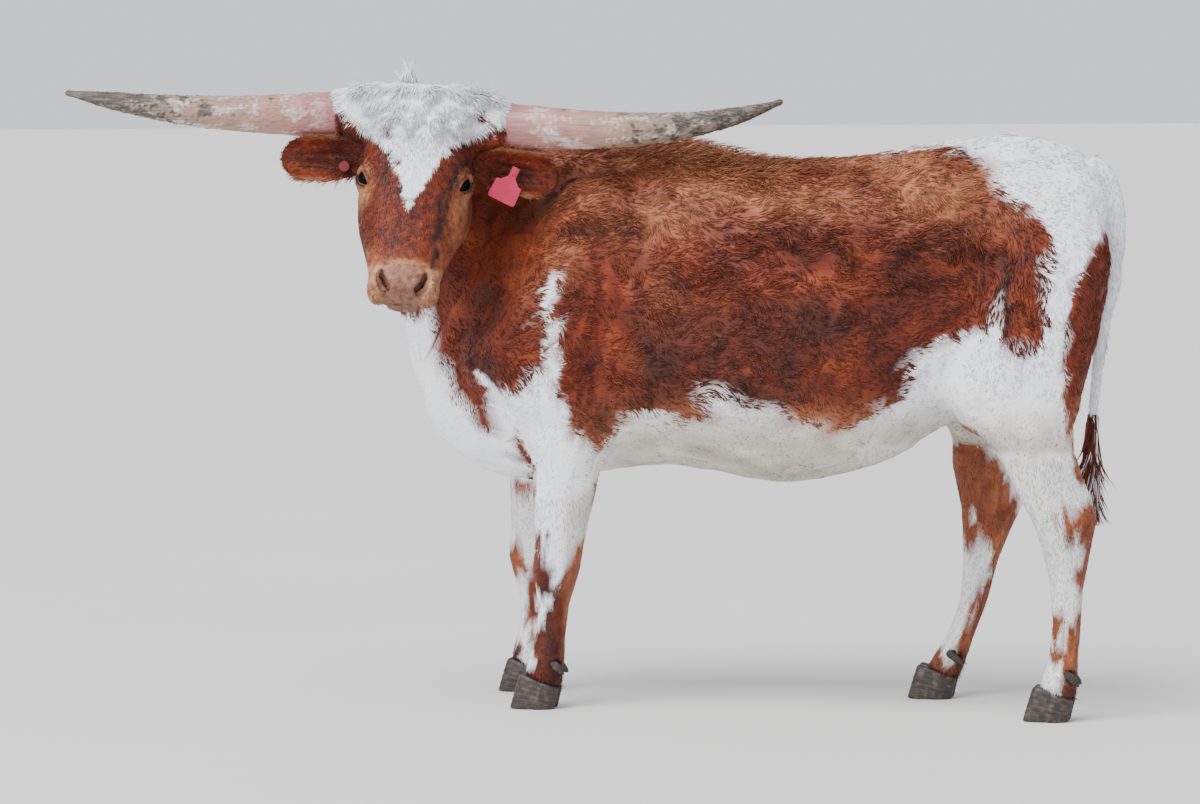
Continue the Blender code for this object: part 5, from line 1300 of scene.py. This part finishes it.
def coat_finish(name, tufts):
    """Cattle hair, grown: red-brown and white winter coat with a soft sheen, darker at the roots of each tuft.

    To the eye, each tuft has a tone of its own between dark and sun-bleached, the shares of tan, peach, dark,
    white and bare skin bring in further ramps and with them painted shade and painted highlight, and the painted
    shade at the roots gives the coat its depth.
    """
    made, tree, shader = new_finish(name)
    marks = add_node(tree, "Attribute", {"attribute_name": "marks"})
    tuft = add_node(tree, "Attribute", {"attribute_name": "tuft"})
    shares = add_node(tree, "SeparateColor", {}, {"Color": marks.outputs["Color"]})
    own = add_node(tree, "SeparateColor", {}, {"Color": tuft.outputs["Color"]})
    place = add_node(tree, "TexCoord").outputs["Object"]
    # The tone drifts over 110 mm. A hair is under 0.1 mm thick, too fine to show, so strands are drawn about
    # 17 mm long and 5 mm across.
    broad = add_node(tree, "TexNoise", {"Scale": 9.0, "Detail": 3.0}, {"Vector": place})
    stretch = add_node(tree, "Mapping", {"Scale": (60.0, 160.0, 220.0)}, {"Vector": place})
    strands = add_node(tree, "TexNoise", {"Scale": 1.0, "Detail": 4.0}, {"Vector": stretch.outputs["Vector"]})
    tone = broad.outputs["Fac"]
    for weight, source in ((0.45, own.outputs["Red"]), (0.35, strands.outputs["Fac"])):
        tone = add_node(tree, "Math", {"operation": "MULTIPLY_ADD", 1: weight}, {0: source, 2: tone}).outputs[0]
    tone = add_node(tree, "Math", {"operation": "SUBTRACT", 1: 0.36}, {0: tone}).outputs[0]
    # The sandy ramp is lightened to carry the painted highlight of the back, the cream ramp is darkened in part to
    # carry the painted shade of the belly, and the dark ramp carries painted shade as well as dark hair.
    red, sandy, pale, white, cream, dark, skin = (
        add_node(tree, "ValToRGB", {"stops": stops}, {"Fac": tone}).outputs["Color"] for stops in (
            ((0.10, "#350c02"), (0.35, "#511603"), (0.62, "#702507"), (0.95, "#944318")),
            ((0.10, "#733418"), (0.5, "#9e5e39"), (0.95, "#c08a64")),
            ((0.10, "#7f5138"), (0.5, "#a67451"), (0.95, "#c99c78")),
            ((0.08, "#dadde6"), (0.35, "#eceef4"), (0.65, "#f6f7fb"), (0.95, "#fdfdff")),
            ((0.08, "#8a7f6b"), (0.5, "#b0a692"), (0.95, "#d4ccbc")),
            ((0.2, "#120603"), (0.9, "#3a1508")),
            ((0.2, "#64402f"), (0.6, "#875b4a"), (0.95, "#a47664"))))
    light = add_node(tree, "Mix", {"data_type": "RGBA"}, {"Factor": marks.outputs["Alpha"], "A": white, "B": cream})
    colour = red
    for share, second in ((marks.outputs["Alpha"], sandy), (own.outputs["Blue"], pale),
                          (shares.outputs["Green"], dark), (shares.outputs["Red"], light.outputs["Result"])):
        colour = add_node(tree, "Mix", {"data_type": "RGBA"},
                          {"Factor": share, "A": colour, "B": second}).outputs["Result"]
    # Roots are shaded, less so under white hair, which lets light through.
    root = add_node(tree, "ValToRGB", {"stops": ((0.0, "#93857c"), (0.30, "#d8cfc9"), (0.6, "#ffffff"))},
                    {"Fac": own.outputs["Green"]}).outputs["Color"]
    depth = add_node(tree, "Math", {"operation": "MULTIPLY_ADD", 1: -0.62, 2: 0.70}, {0: shares.outputs["Red"]})
    colour = add_node(tree, "Mix", {"data_type": "RGBA", "blend_type": "MULTIPLY"},
                      {"Factor": depth.outputs[0], "A": colour, "B": root}).outputs["Result"]
    if not tufts:
        # The hide itself is bare on the nose and lips, with painted shade inside the nostrils, along the mouth's line
        # and a little on the lips and chin.
        hole = add_node(tree, "ValToRGB", {"stops": ((0.0, "#2a1a16"), (0.45, "#ffffff"))},
                        {"Fac": own.outputs["Green"]}).outputs["Color"]
        naked = add_node(tree, "Mix", {"data_type": "RGBA", "blend_type": "MULTIPLY", "Factor": 1.0},
                         {"A": skin, "B": hole}).outputs["Result"]
        colour = add_node(tree, "Mix", {"data_type": "RGBA"},
                          {"Factor": shares.outputs["Blue"], "A": colour, "B": naked}).outputs["Result"]
        grain = add_node(tree, "Bump", {"Strength": 0.5, "Distance": 0.0012}, {"Height": strands.outputs["Fac"]})
        tree.links.new(grain.outputs["Normal"], shader.inputs["Normal"])
    tree.links.new(colour, shader.inputs["Base Color"])
    for socket, value in (("Roughness", 0.55), ("Specular IOR Level", 0.28), ("Sheen Weight", 0.05),
                          ("Sheen Roughness", 0.45)):
        shader.inputs[socket].default_value = value
    return made


def horn_place(side, share):
    """Middle and half thickness along a horn by its length's share, by the rule that its solid follows.

    The line runs straight out, rises with the cube of the share, droops and sweeps forward as a sine, and thins as
    the share left to the power 0.59, to a blunt end.
    """
    out = HORN_ROOT + (HORN_TIP - HORN_ROOT) * share
    lift, droop, base = HORN_LINES[side]
    inner = np.clip(share, 0, 1)
    rise = lift * inner**3 - droop * np.sin(math.pi * inner)
    sweep = 0.050 * np.sin(0.85 * math.pi * inner)
    down, ahead = (np.full(len(share), place) for place in HORN_PLACE)
    line = from_head(np.stack([side * out, down, ahead], 1)) + np.outer(rise, ROLL_UP) + np.outer(sweep, AHEAD)
    thick = base * np.clip(1 - inner, 0, 1) ** 0.59
    return line, np.maximum(thick, 0.0075 * np.sqrt(np.clip((1 - inner) / 0.012, 0, 1)))


def make_horn(name, side, node, finish):
    """A horn sheath: circles along its line, with growth rings near the root and torn fibre ridges to the tip.

    Rings are a sine of 62 times the share, fibres the size of a ripple that twists along the horn, and flakes, wear
    and cracks are smooth steps of ripples drawn out along it. Flakes and wear also tint the sheath.
    """
    rows, columns = 220, 72
    share = -0.05 + 1.05 * np.linspace(0, 1, rows) ** 0.94
    line, thick = horn_place(side, share)
    angle = np.arange(columns) * 2 * math.pi / columns
    co = round_tube(line, thick * 0.99, columns, lean=tuple(ROLL_UP))
    t, turn = np.repeat(share, columns), np.tile(angle, rows)
    low = np.cos(turn) < -0.5
    rings = np.sin(t * 62 + 1.8 * np.sin(turn + 5 * t)) * 0.0006 * fade(-t, -0.50, -0.1)
    twist = turn + 1.8 * t
    fibres = ripple(np.stack([t * 0.5, 0.055 * np.cos(twist), 0.055 * np.sin(twist)], 1), 0.016, 51)
    fibres = np.abs(fibres) * 0.0016 * fade(t, 0.30, 0.52) * fade(-t, -0.97, -0.80)
    around_it = np.stack([t * 1.2, 0.05 * np.cos(turn), 0.05 * np.sin(turn)], 1)
    worn = fade(ripple(around_it, 0.06, 53) + 0.6 * ripple(around_it, 0.02, 54) + 5.0 * (t - 0.56), 0.2, 0.7)
    flakes = ripple(around_it * (0.30, 1, 1), 0.040, 52) + 0.6 * ripple(around_it * (0.5, 1, 1), 0.012, 55)
    flakes = fade(flakes, 0.30, 0.9) * fade(t, 0.02, 0.12) * fade(-t, -0.88, -0.60)
    cracks = fade(ripple(around_it * (0.35, 1, 1), 0.010, 56), 0.9, 1.2) * fade(t, 0.35, 0.55)
    rise = (rings + fibres + 0.0009 * flakes - 0.0012 * cracks - 0.0011 * worn * fade(-t, -0.85, -0.65))
    rise = rise * np.repeat(np.minimum(1, thick / 0.018), columns)
    co = co + unit(co - np.repeat(line, columns, axis=0)) * rise[:, None]
    co = np.concatenate([co, line[:1], line[-1:]])
    made = put_mesh(name, co, capped(rows, columns))
    add_colour(made, "sheath", np.stack([np.append(t, (0, 1)), np.append(flakes, (0, 0)), np.append(worn, (0, 1)),
                                         np.append(np.maximum(cracks, 0.3 * low), (0, 0))], 1))
    made.data.materials.append(finish)
    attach(made, "root")
    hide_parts(node)
    return made


def horn_finish():
    """Keratin sheath, grown: pink and waxy at the root, chalky flakes in the middle, dark torn fibres to the tip.

    To the eye it is a satin shine that dulls along the horn, over fibres that run its whole length.
    """
    made, tree, shader = new_finish("keratin horn sheath")
    sheath = add_node(tree, "Attribute", {"attribute_name": "sheath"})
    own = add_node(tree, "SeparateColor", {}, {"Color": sheath.outputs["Color"]})
    place = add_node(tree, "TexCoord").outputs["Object"]
    # The tone drifts over 60 mm. Horn's fibres are finer than a hair, so bundles 60 mm long and 4 mm wide are drawn.
    broad = add_node(tree, "TexNoise", {"Scale": 16.0, "Detail": 5.0}, {"Vector": place})
    stretch = add_node(tree, "Mapping", {"Scale": (16.0, 240.0, 240.0)}, {"Vector": place})
    fibre = add_node(tree, "TexNoise", {"Scale": 1.0, "Detail": 6.0},
                     {"Vector": stretch.outputs["Vector"]}).outputs["Fac"]
    along = add_node(tree, "Math", {"operation": "MULTIPLY_ADD", 1: 0.30},
                     {0: broad.outputs["Fac"], 2: own.outputs["Red"]}).outputs[0]
    along = add_node(tree, "Math", {"operation": "SUBTRACT", 1: 0.15}, {0: along}).outputs[0]
    base, pale, torn, streak = (
        add_node(tree, "ValToRGB", {"stops": stops}, {"Fac": source}).outputs["Color"] for source, stops in (
            (along, ((0.0, "#a5686a"), (0.16, "#ab7a70"), (0.40, "#a08170"), (0.66, "#7f7265"))),
            (fibre, ((0.3, "#bdb3af"), (0.7, "#e4dedb"))),
            (fibre, ((0.35, "#211c18"), (0.52, "#463e36"), (0.70, "#7c7368"))),
            (fibre, ((0.30, "#a89a90"), (0.55, "#ffffff")))))
    colour = base
    for most, share, second in ((0.55, own.outputs["Green"], pale), (0.85, own.outputs["Blue"], torn)):
        share = add_node(tree, "Math", {"operation": "MULTIPLY", 1: most}, {0: share}).outputs[0]
        colour = add_node(tree, "Mix", {"data_type": "RGBA"},
                          {"Factor": share, "A": colour, "B": second}).outputs["Result"]
    colour = add_node(tree, "Mix", {"data_type": "RGBA", "blend_type": "MULTIPLY", "Factor": 0.6},
                      {"A": colour, "B": streak}).outputs["Result"]
    tree.links.new(colour, shader.inputs["Base Color"])
    rough = add_node(tree, "MapRange", {"From Min": 0.0, "From Max": 0.5, "To Min": 0.36, "To Max": 0.68},
                     {"Value": own.outputs["Red"]})
    tree.links.new(rough.outputs["Result"], shader.inputs["Roughness"])
    grain = add_node(tree, "Bump", {"Strength": 0.6, "Distance": 0.0012}, {"Height": fibre})
    tree.links.new(grain.outputs["Normal"], shader.inputs["Normal"])
    shader.inputs["IOR"].default_value = 1.54
    return made


def foot_of(name):
    """The middle of the foot that a claw or dewclaw belongs to, by its claw's box, and its side of it."""
    own = "hoof_" + name.split("_", 1)[1]
    boxes = [np.array(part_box(own[:-1] + letter)) for letter in "ab"]
    low, high = np.array(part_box(own))
    foot_y = (min(box[0][1] for box in boxes) + max(box[1][1] for box in boxes)) / 2
    return low[0] + TOE_AHEAD, foot_y, 1 if (low[1] + high[1]) / 2 > foot_y else -1


def make_claw(name, finish):
    """One claw of a cloven foot: D-shaped rings from the sole up to the slanted coronet, ringed by growth lines.

    Ring by ring the length shrinks by 0.13 and leans back by 18 mm; its sole's edge is rounded.
    """
    foot_x, foot_y, half = foot_of(name)
    rows, columns = 44, 56
    share = np.linspace(0, 1, rows)[:, None] ** 1.15
    a = np.arange(columns)[None] * 2 * math.pi / columns
    ahead, across = np.cos(a), np.sin(a)
    rounded = 1 - 0.10 * np.clip(1 - share / 0.06, 0, 1) ** 2 - 0.12 * np.clip((share - 0.88) / 0.12, 0, 1) ** 2
    swell = (1 + 0.05 * np.sin(math.pi * share) - 0.10 * share) * rounded
    length = CLAW_LENGTH * (1 - 0.13 * share) * rounded
    width = CLAW_WIDTH * swell * np.where(across * half < 0, 0.72, 1.0)
    pull = np.where(ahead < 0, 1 - 0.22 * np.abs(across) ** 3, 1.0)
    lines = 0.0004 * np.sin(share * 36 + 0.8 * ahead) * np.sin(math.pi * share)
    lines = lines + 0.0002 * np.sin(share * 80 + 2 * ahead)
    x = foot_x - 0.020 + CLAW_LEAN * share + length * ahead * np.where(ahead < 0, 1.0, 0.86) + lines * ahead
    y = foot_y + half * CLAW_APART + width * across * pull + lines * across
    top = CORONET_HEIGHT - (x - foot_x) * math.tan(CORONET_SLOPE) - 0.0006
    co = np.stack([x, y, np.maximum(top, 0.02) * share], -1)
    ends = np.stack([co[0].mean(0), co[-1].mean(0)])
    made = put_mesh("claw_" + name.split("_", 1)[1], np.concatenate([co.reshape(-1, 3), ends]), capped(rows, columns))
    add_colour(made, "height", np.append(np.repeat(share, columns), (0, 1))[:, None] * np.ones(3))
    made.data.materials.append(finish)
    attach(made, "root")
    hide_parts(name)
    return made


def make_dewclaw(name, finish):
    """A small blunt horny cone behind the fetlock: circles along a line that bends down, ringed by growth lines."""
    foot_x, foot_y, half = foot_of(name)
    rows, columns = 30, 40
    t = np.linspace(0, 1, rows)
    foot, outwards = np.array([foot_x, foot_y, 0.0]), np.array([1.0, half, 1.0])
    start, end = foot + outwards * DEWCLAW_ROOT, foot + outwards * DEWCLAW_TIP
    line = start + np.outer(t, end - start) - np.outer(0.006 * t**2, UP)
    thick = DEWCLAW_THICK * (1 - 0.25 * t) * np.sqrt(np.clip(1 - t**3, 0, 1))
    thick = thick + 0.0002 * np.sin(t * 40) * np.minimum(1, thick / 0.006)
    co = round_tube(line, thick, columns, lean=(0.0, 1.0, 0.0))
    co = np.concatenate([co, line[:1], line[-1:]])
    made = put_mesh(name.replace("dewclaw", "spur"), co, capped(rows, columns))
    add_colour(made, "height", np.append(np.repeat(t, columns), (0, 1))[:, None] * np.ones(3))
    made.data.materials.append(finish)
    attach(made, "root")
    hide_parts(name)
    return made


def hoof_finish():
    """Hoof horn, grown and worn: dull dark keratin with pale growth lines along the wall.

    To the eye it is a matt wall, lit softly on the ridge of each growth line.
    """
    made, tree, shader = new_finish("hoof horn")
    height = add_node(tree, "Attribute", {"attribute_name": "height"})
    place = add_node(tree, "TexCoord").outputs["Object"]
    # The mottling is 14 mm wide, and the growth lines lie 11 mm apart on a wall 64 mm high: a turn each 2 pi of 36.
    grain = add_node(tree, "TexNoise", {"Scale": 70.0, "Detail": 6.0}, {"Vector": place}).outputs["Fac"]
    rows = add_node(tree, "Math", {"operation": "MULTIPLY_ADD", 1: 36.0},
                    {0: height.outputs["Fac"], 2: grain}).outputs[0]
    wave = add_node(tree, "Math", {"operation": "SINE"}, {0: rows}).outputs[0]
    tone = add_node(tree, "Math", {"operation": "MULTIPLY_ADD", 1: 0.035}, {0: wave, 2: grain}).outputs[0]
    colour = add_node(tree, "ValToRGB", {"stops": ((0.30, "#17110d"), (0.52, "#2f241d"), (0.72, "#54453a"))},
                      {"Fac": tone})
    tree.links.new(colour.outputs["Color"], shader.inputs["Base Color"])
    ridges = add_node(tree, "Bump", {"Strength": 0.5, "Distance": 0.0006}, {"Height": tone})
    tree.links.new(ridges.outputs["Normal"], shader.inputs["Normal"])
    shader.inputs["Roughness"].default_value = 0.52
    shader.inputs["IOR"].default_value = 1.54
    return made


def plain_finish(name, dark, light, scale, rough, strength=0.3, distance=0.0006, **sockets):
    """A plain surface: two tones by noise, scale waves to a metre, with a fine bump and the shader's own settings."""
    made, tree, shader = new_finish(name)
    place = add_node(tree, "TexCoord")
    grain = add_node(tree, "TexNoise", {"Scale": scale, "Detail": 5.0}, {"Vector": place.outputs["Object"]})
    colour = add_node(tree, "ValToRGB", {"stops": ((0.3, dark), (0.7, light))}, {"Fac": grain.outputs["Fac"]})
    tree.links.new(colour.outputs["Color"], shader.inputs["Base Color"])
    uneven = add_node(tree, "Bump", {"Strength": strength, "Distance": distance}, {"Height": grain.outputs["Fac"]})
    tree.links.new(uneven.outputs["Normal"], shader.inputs["Normal"])
    shader.inputs["Roughness"].default_value = rough
    for socket, value in sockets.items():
        shader.inputs[socket.replace("_", " ")].default_value = value
    return made


def lid_frame(side):
    """The eye's centre and its own axes: the way it looks, the way its corners lie, and across them."""
    look = unit(LOOK)
    run = unit(LID_RUN - look * (LID_RUN @ look))
    over = np.cross(look, run)
    mirror = np.array([side, 1.0, 1.0])
    axes = np.stack([look, run, over]) * mirror @ HEAD_AXES
    return from_head(eye_place(side))[0], axes


def make_eye(side, node, finish):
    """An eyeball: a sphere by turn and height, as wide as its solid, with its poles along its look."""
    rows, columns = 48, 72
    height = np.linspace(0.02, math.pi - 0.02, rows)[:, None]
    turn = np.arange(columns)[None] * 2 * math.pi / columns
    ball = np.stack([np.cos(height) + 0 * turn, np.sin(height) * np.cos(turn), np.sin(height) * np.sin(turn)], -1)
    centre, axes = lid_frame(side)
    ball = np.concatenate([ball.reshape(-1, 3), [[1, 0, 0], [-1, 0, 0]]])
    made = put_mesh("eyeball_" + SIDE_NAMES[side], centre + EYE_RADIUS * ball @ axes,
                    capped(rows, columns) if side > 0 else capped(rows, columns)[:, ::-1])
    made.data.materials.append(finish)
    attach(made, "root")
    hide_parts(node)
    return made


def make_lids(side, finish):
    """Both lids of an eye as one rim: a profile carried round the oval opening between them.

    The profile starts on the eyeball, rolls over a soft edge and falls back under the skin around the eye. Each of
    its points is how far out of the opening it lies, its height over the eyeball, and how dark its hair is.
    """
    profile = ((0.93, -0.0012, 1.0), (0.98, 0.0006, 1.0), (1.06, 0.0016, 0.9), (1.16, 0.0018, 0.6),
               (1.30, 0.0016, 0.25), (1.50, 0.0012, 0.10), (1.70, 0.0004, 0.0), (1.95, -0.0012, 0.0),
               (2.15, -0.0040, 0.0))
    columns = 96
    turn = np.arange(columns) * 2 * math.pi / columns
    corner = 1 + 0.10 * np.cos(turn) ** 8
    centre, axes = lid_frame(side)
    half_run, half_over = LID_OPENING
    rings, tones = [], []
    for spread, stand, dark in profile:
        along = half_run * np.cos(turn) * (1 + (spread - 1) * 0.70) * corner
        across = half_over * np.sin(turn) * spread
        radius = EYE_RADIUS + stand
        out = np.sqrt(np.maximum(radius**2 - along**2 - across**2, 0.05 * radius**2))
        rings.append(np.stack([out, along, across], 1))
        lower = np.where(np.cos(turn) > 0.2, 1.0, 0.0) * fade(spread, 1.0, 1.1) * fade(-spread, -1.6, -1.35)
        tones.append(np.stack([np.zeros(columns), dark * (1 - 0.75 * lower), 0.8 * lower, np.full(columns, 0.85)], 1))
    co = centre + np.concatenate(rings) @ axes
    faces = grid_faces(len(profile), columns)
    made = put_mesh("lids_" + SIDE_NAMES[side], co, faces if side < 0 else faces[:, ::-1])
    add_colour(made, "marks", np.concatenate(tones))
    add_colour(made, "tuft", np.full((len(co), 3), (0.4, 0.6, 0.0)))
    solid = made.modifiers.new("solid", "SOLIDIFY")
    solid.thickness, solid.offset = 0.0012, -1.0
    applied(made)
    made.data.materials.append(finish)
    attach(made, "root")
    return made


def aimed(place, way):
    """Where a lamp goes: at a place, its beam along a direction."""
    return Matrix.Translation(place) @ Vector(way).to_track_quat("-Z", "Y").to_matrix().to_4x4()


def studio():
    """A pale round floor, a pale sky, a broad soft sun overhead with a fill from the front, and the camera."""
    count, radius = 96, 90.0
    angle = np.arange(count) * 2 * math.pi / count
    edge = np.stack([radius * np.cos(angle), radius * np.sin(angle), np.zeros(count)], 1)
    here = np.arange(count)
    floor = put_mesh("floor", np.concatenate([edge, [[0, 0, 0]]]),
                     np.stack([here, (here + 1) % count, np.full(count, count)], 1), smooth=False)
    # Painted board: matt, all but even, its tone drifting over 1.25 m.
    floor.data.materials.append(plain_finish("painted studio floor", "#d3d1ce", "#d7d5d2", 0.8, 0.8, 0.05))
    world = bpy.data.worlds.new("pale sky")
    world.use_nodes = True
    sky = world.node_tree.nodes["Background"].inputs
    sky["Color"].default_value, sky["Strength"].default_value = linear("#eceff5"), 1.15
    bpy.context.scene.world = world
    sun = bpy.data.lights.new("overhead", "SUN")
    sun.energy, sun.angle = 3.6, math.radians(40)
    linked("overhead", sun, aimed(Vector(), (0.25, 0.55, -1.0)))
    lamp = bpy.data.lights.new("fill", "AREA")
    lamp.energy, lamp.size = 190, 3.0
    place = Vector((-3.4, -5.5, 2.6))
    linked("fill", lamp, aimed(place, Vector((-0.3, 0.0, 1.1)) - place))
    camera = bpy.data.cameras.new("camera")
    camera.sensor_width = 36.0
    camera.lens = camera.sensor_width * VIEW_DISTANCE / COLUMN / COLUMNS
    camera.clip_end = 200.0
    bpy.context.scene.camera = linked("camera", camera, camera_matrix())


def main():
    """Builds every piece and names what each stands for."""
    studio()
    skin = make_skin()
    co, triangles, normals, part = sculpt(skin)
    hide = coat_finish("cattle hide under short hair", False)
    skin.data.materials.append(hide)
    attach(skin, "root")
    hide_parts(*FLESH)
    hair = coat_finish("cattle hair in tufts", True)
    for piece in make_coat(co, triangles, normals, part, hair) + [make_switch(hair), make_tuft(co, hair)]:
        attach(piece, "root")
    sheath = horn_finish()
    make_horn("horn_sheath_left", 1, "horn_left", sheath)
    make_horn("horn_sheath_right", -1, "horn_right", sheath)
    # Water over a near-black iris: dark all over, with one small sharp light.
    eye = plain_finish("wet eye", "#040303", "#0a0605", 60, 0.05, 0.02, IOR=1.33, Specular_IOR_Level=0.09)
    make_eye(1, "eye_left", eye)
    make_eye(-1, "eye_right", eye)
    for side in (-1, 1):
        make_lids(side, hide)
        lashes(side, hair)
    hoof = hoof_finish()
    # Moulded polyurethane is soft and has a broad dull shine; nylon is harder, with a tighter one. Both are mottled
    # over about 20 mm by handling and weather.
    tag = plain_finish("moulded polyurethane tag", "#a80b3a", "#b6164a", 40, 0.55, 0.1)
    button = plain_finish("moulded nylon button", "#5a080b", "#70100f", 60, 0.45, 0.1)
    for name, node in frame["nodes"].items():
        if name.startswith("hoof"):
            make_claw(name, hoof)
        if name.startswith("dewclaw"):
            make_dewclaw(name, hoof)
        for start, own in {"ear_tag": tag, "ear_button": button}.items():
            if name.startswith(start):
                node.data.materials.clear()
                node.data.materials.append(own)
    total = sum(len(o.data.loop_triangles) or len(o.data.polygons) for o in bpy.data.objects if o.type == "MESH")
    print("faces in all", total)


main()
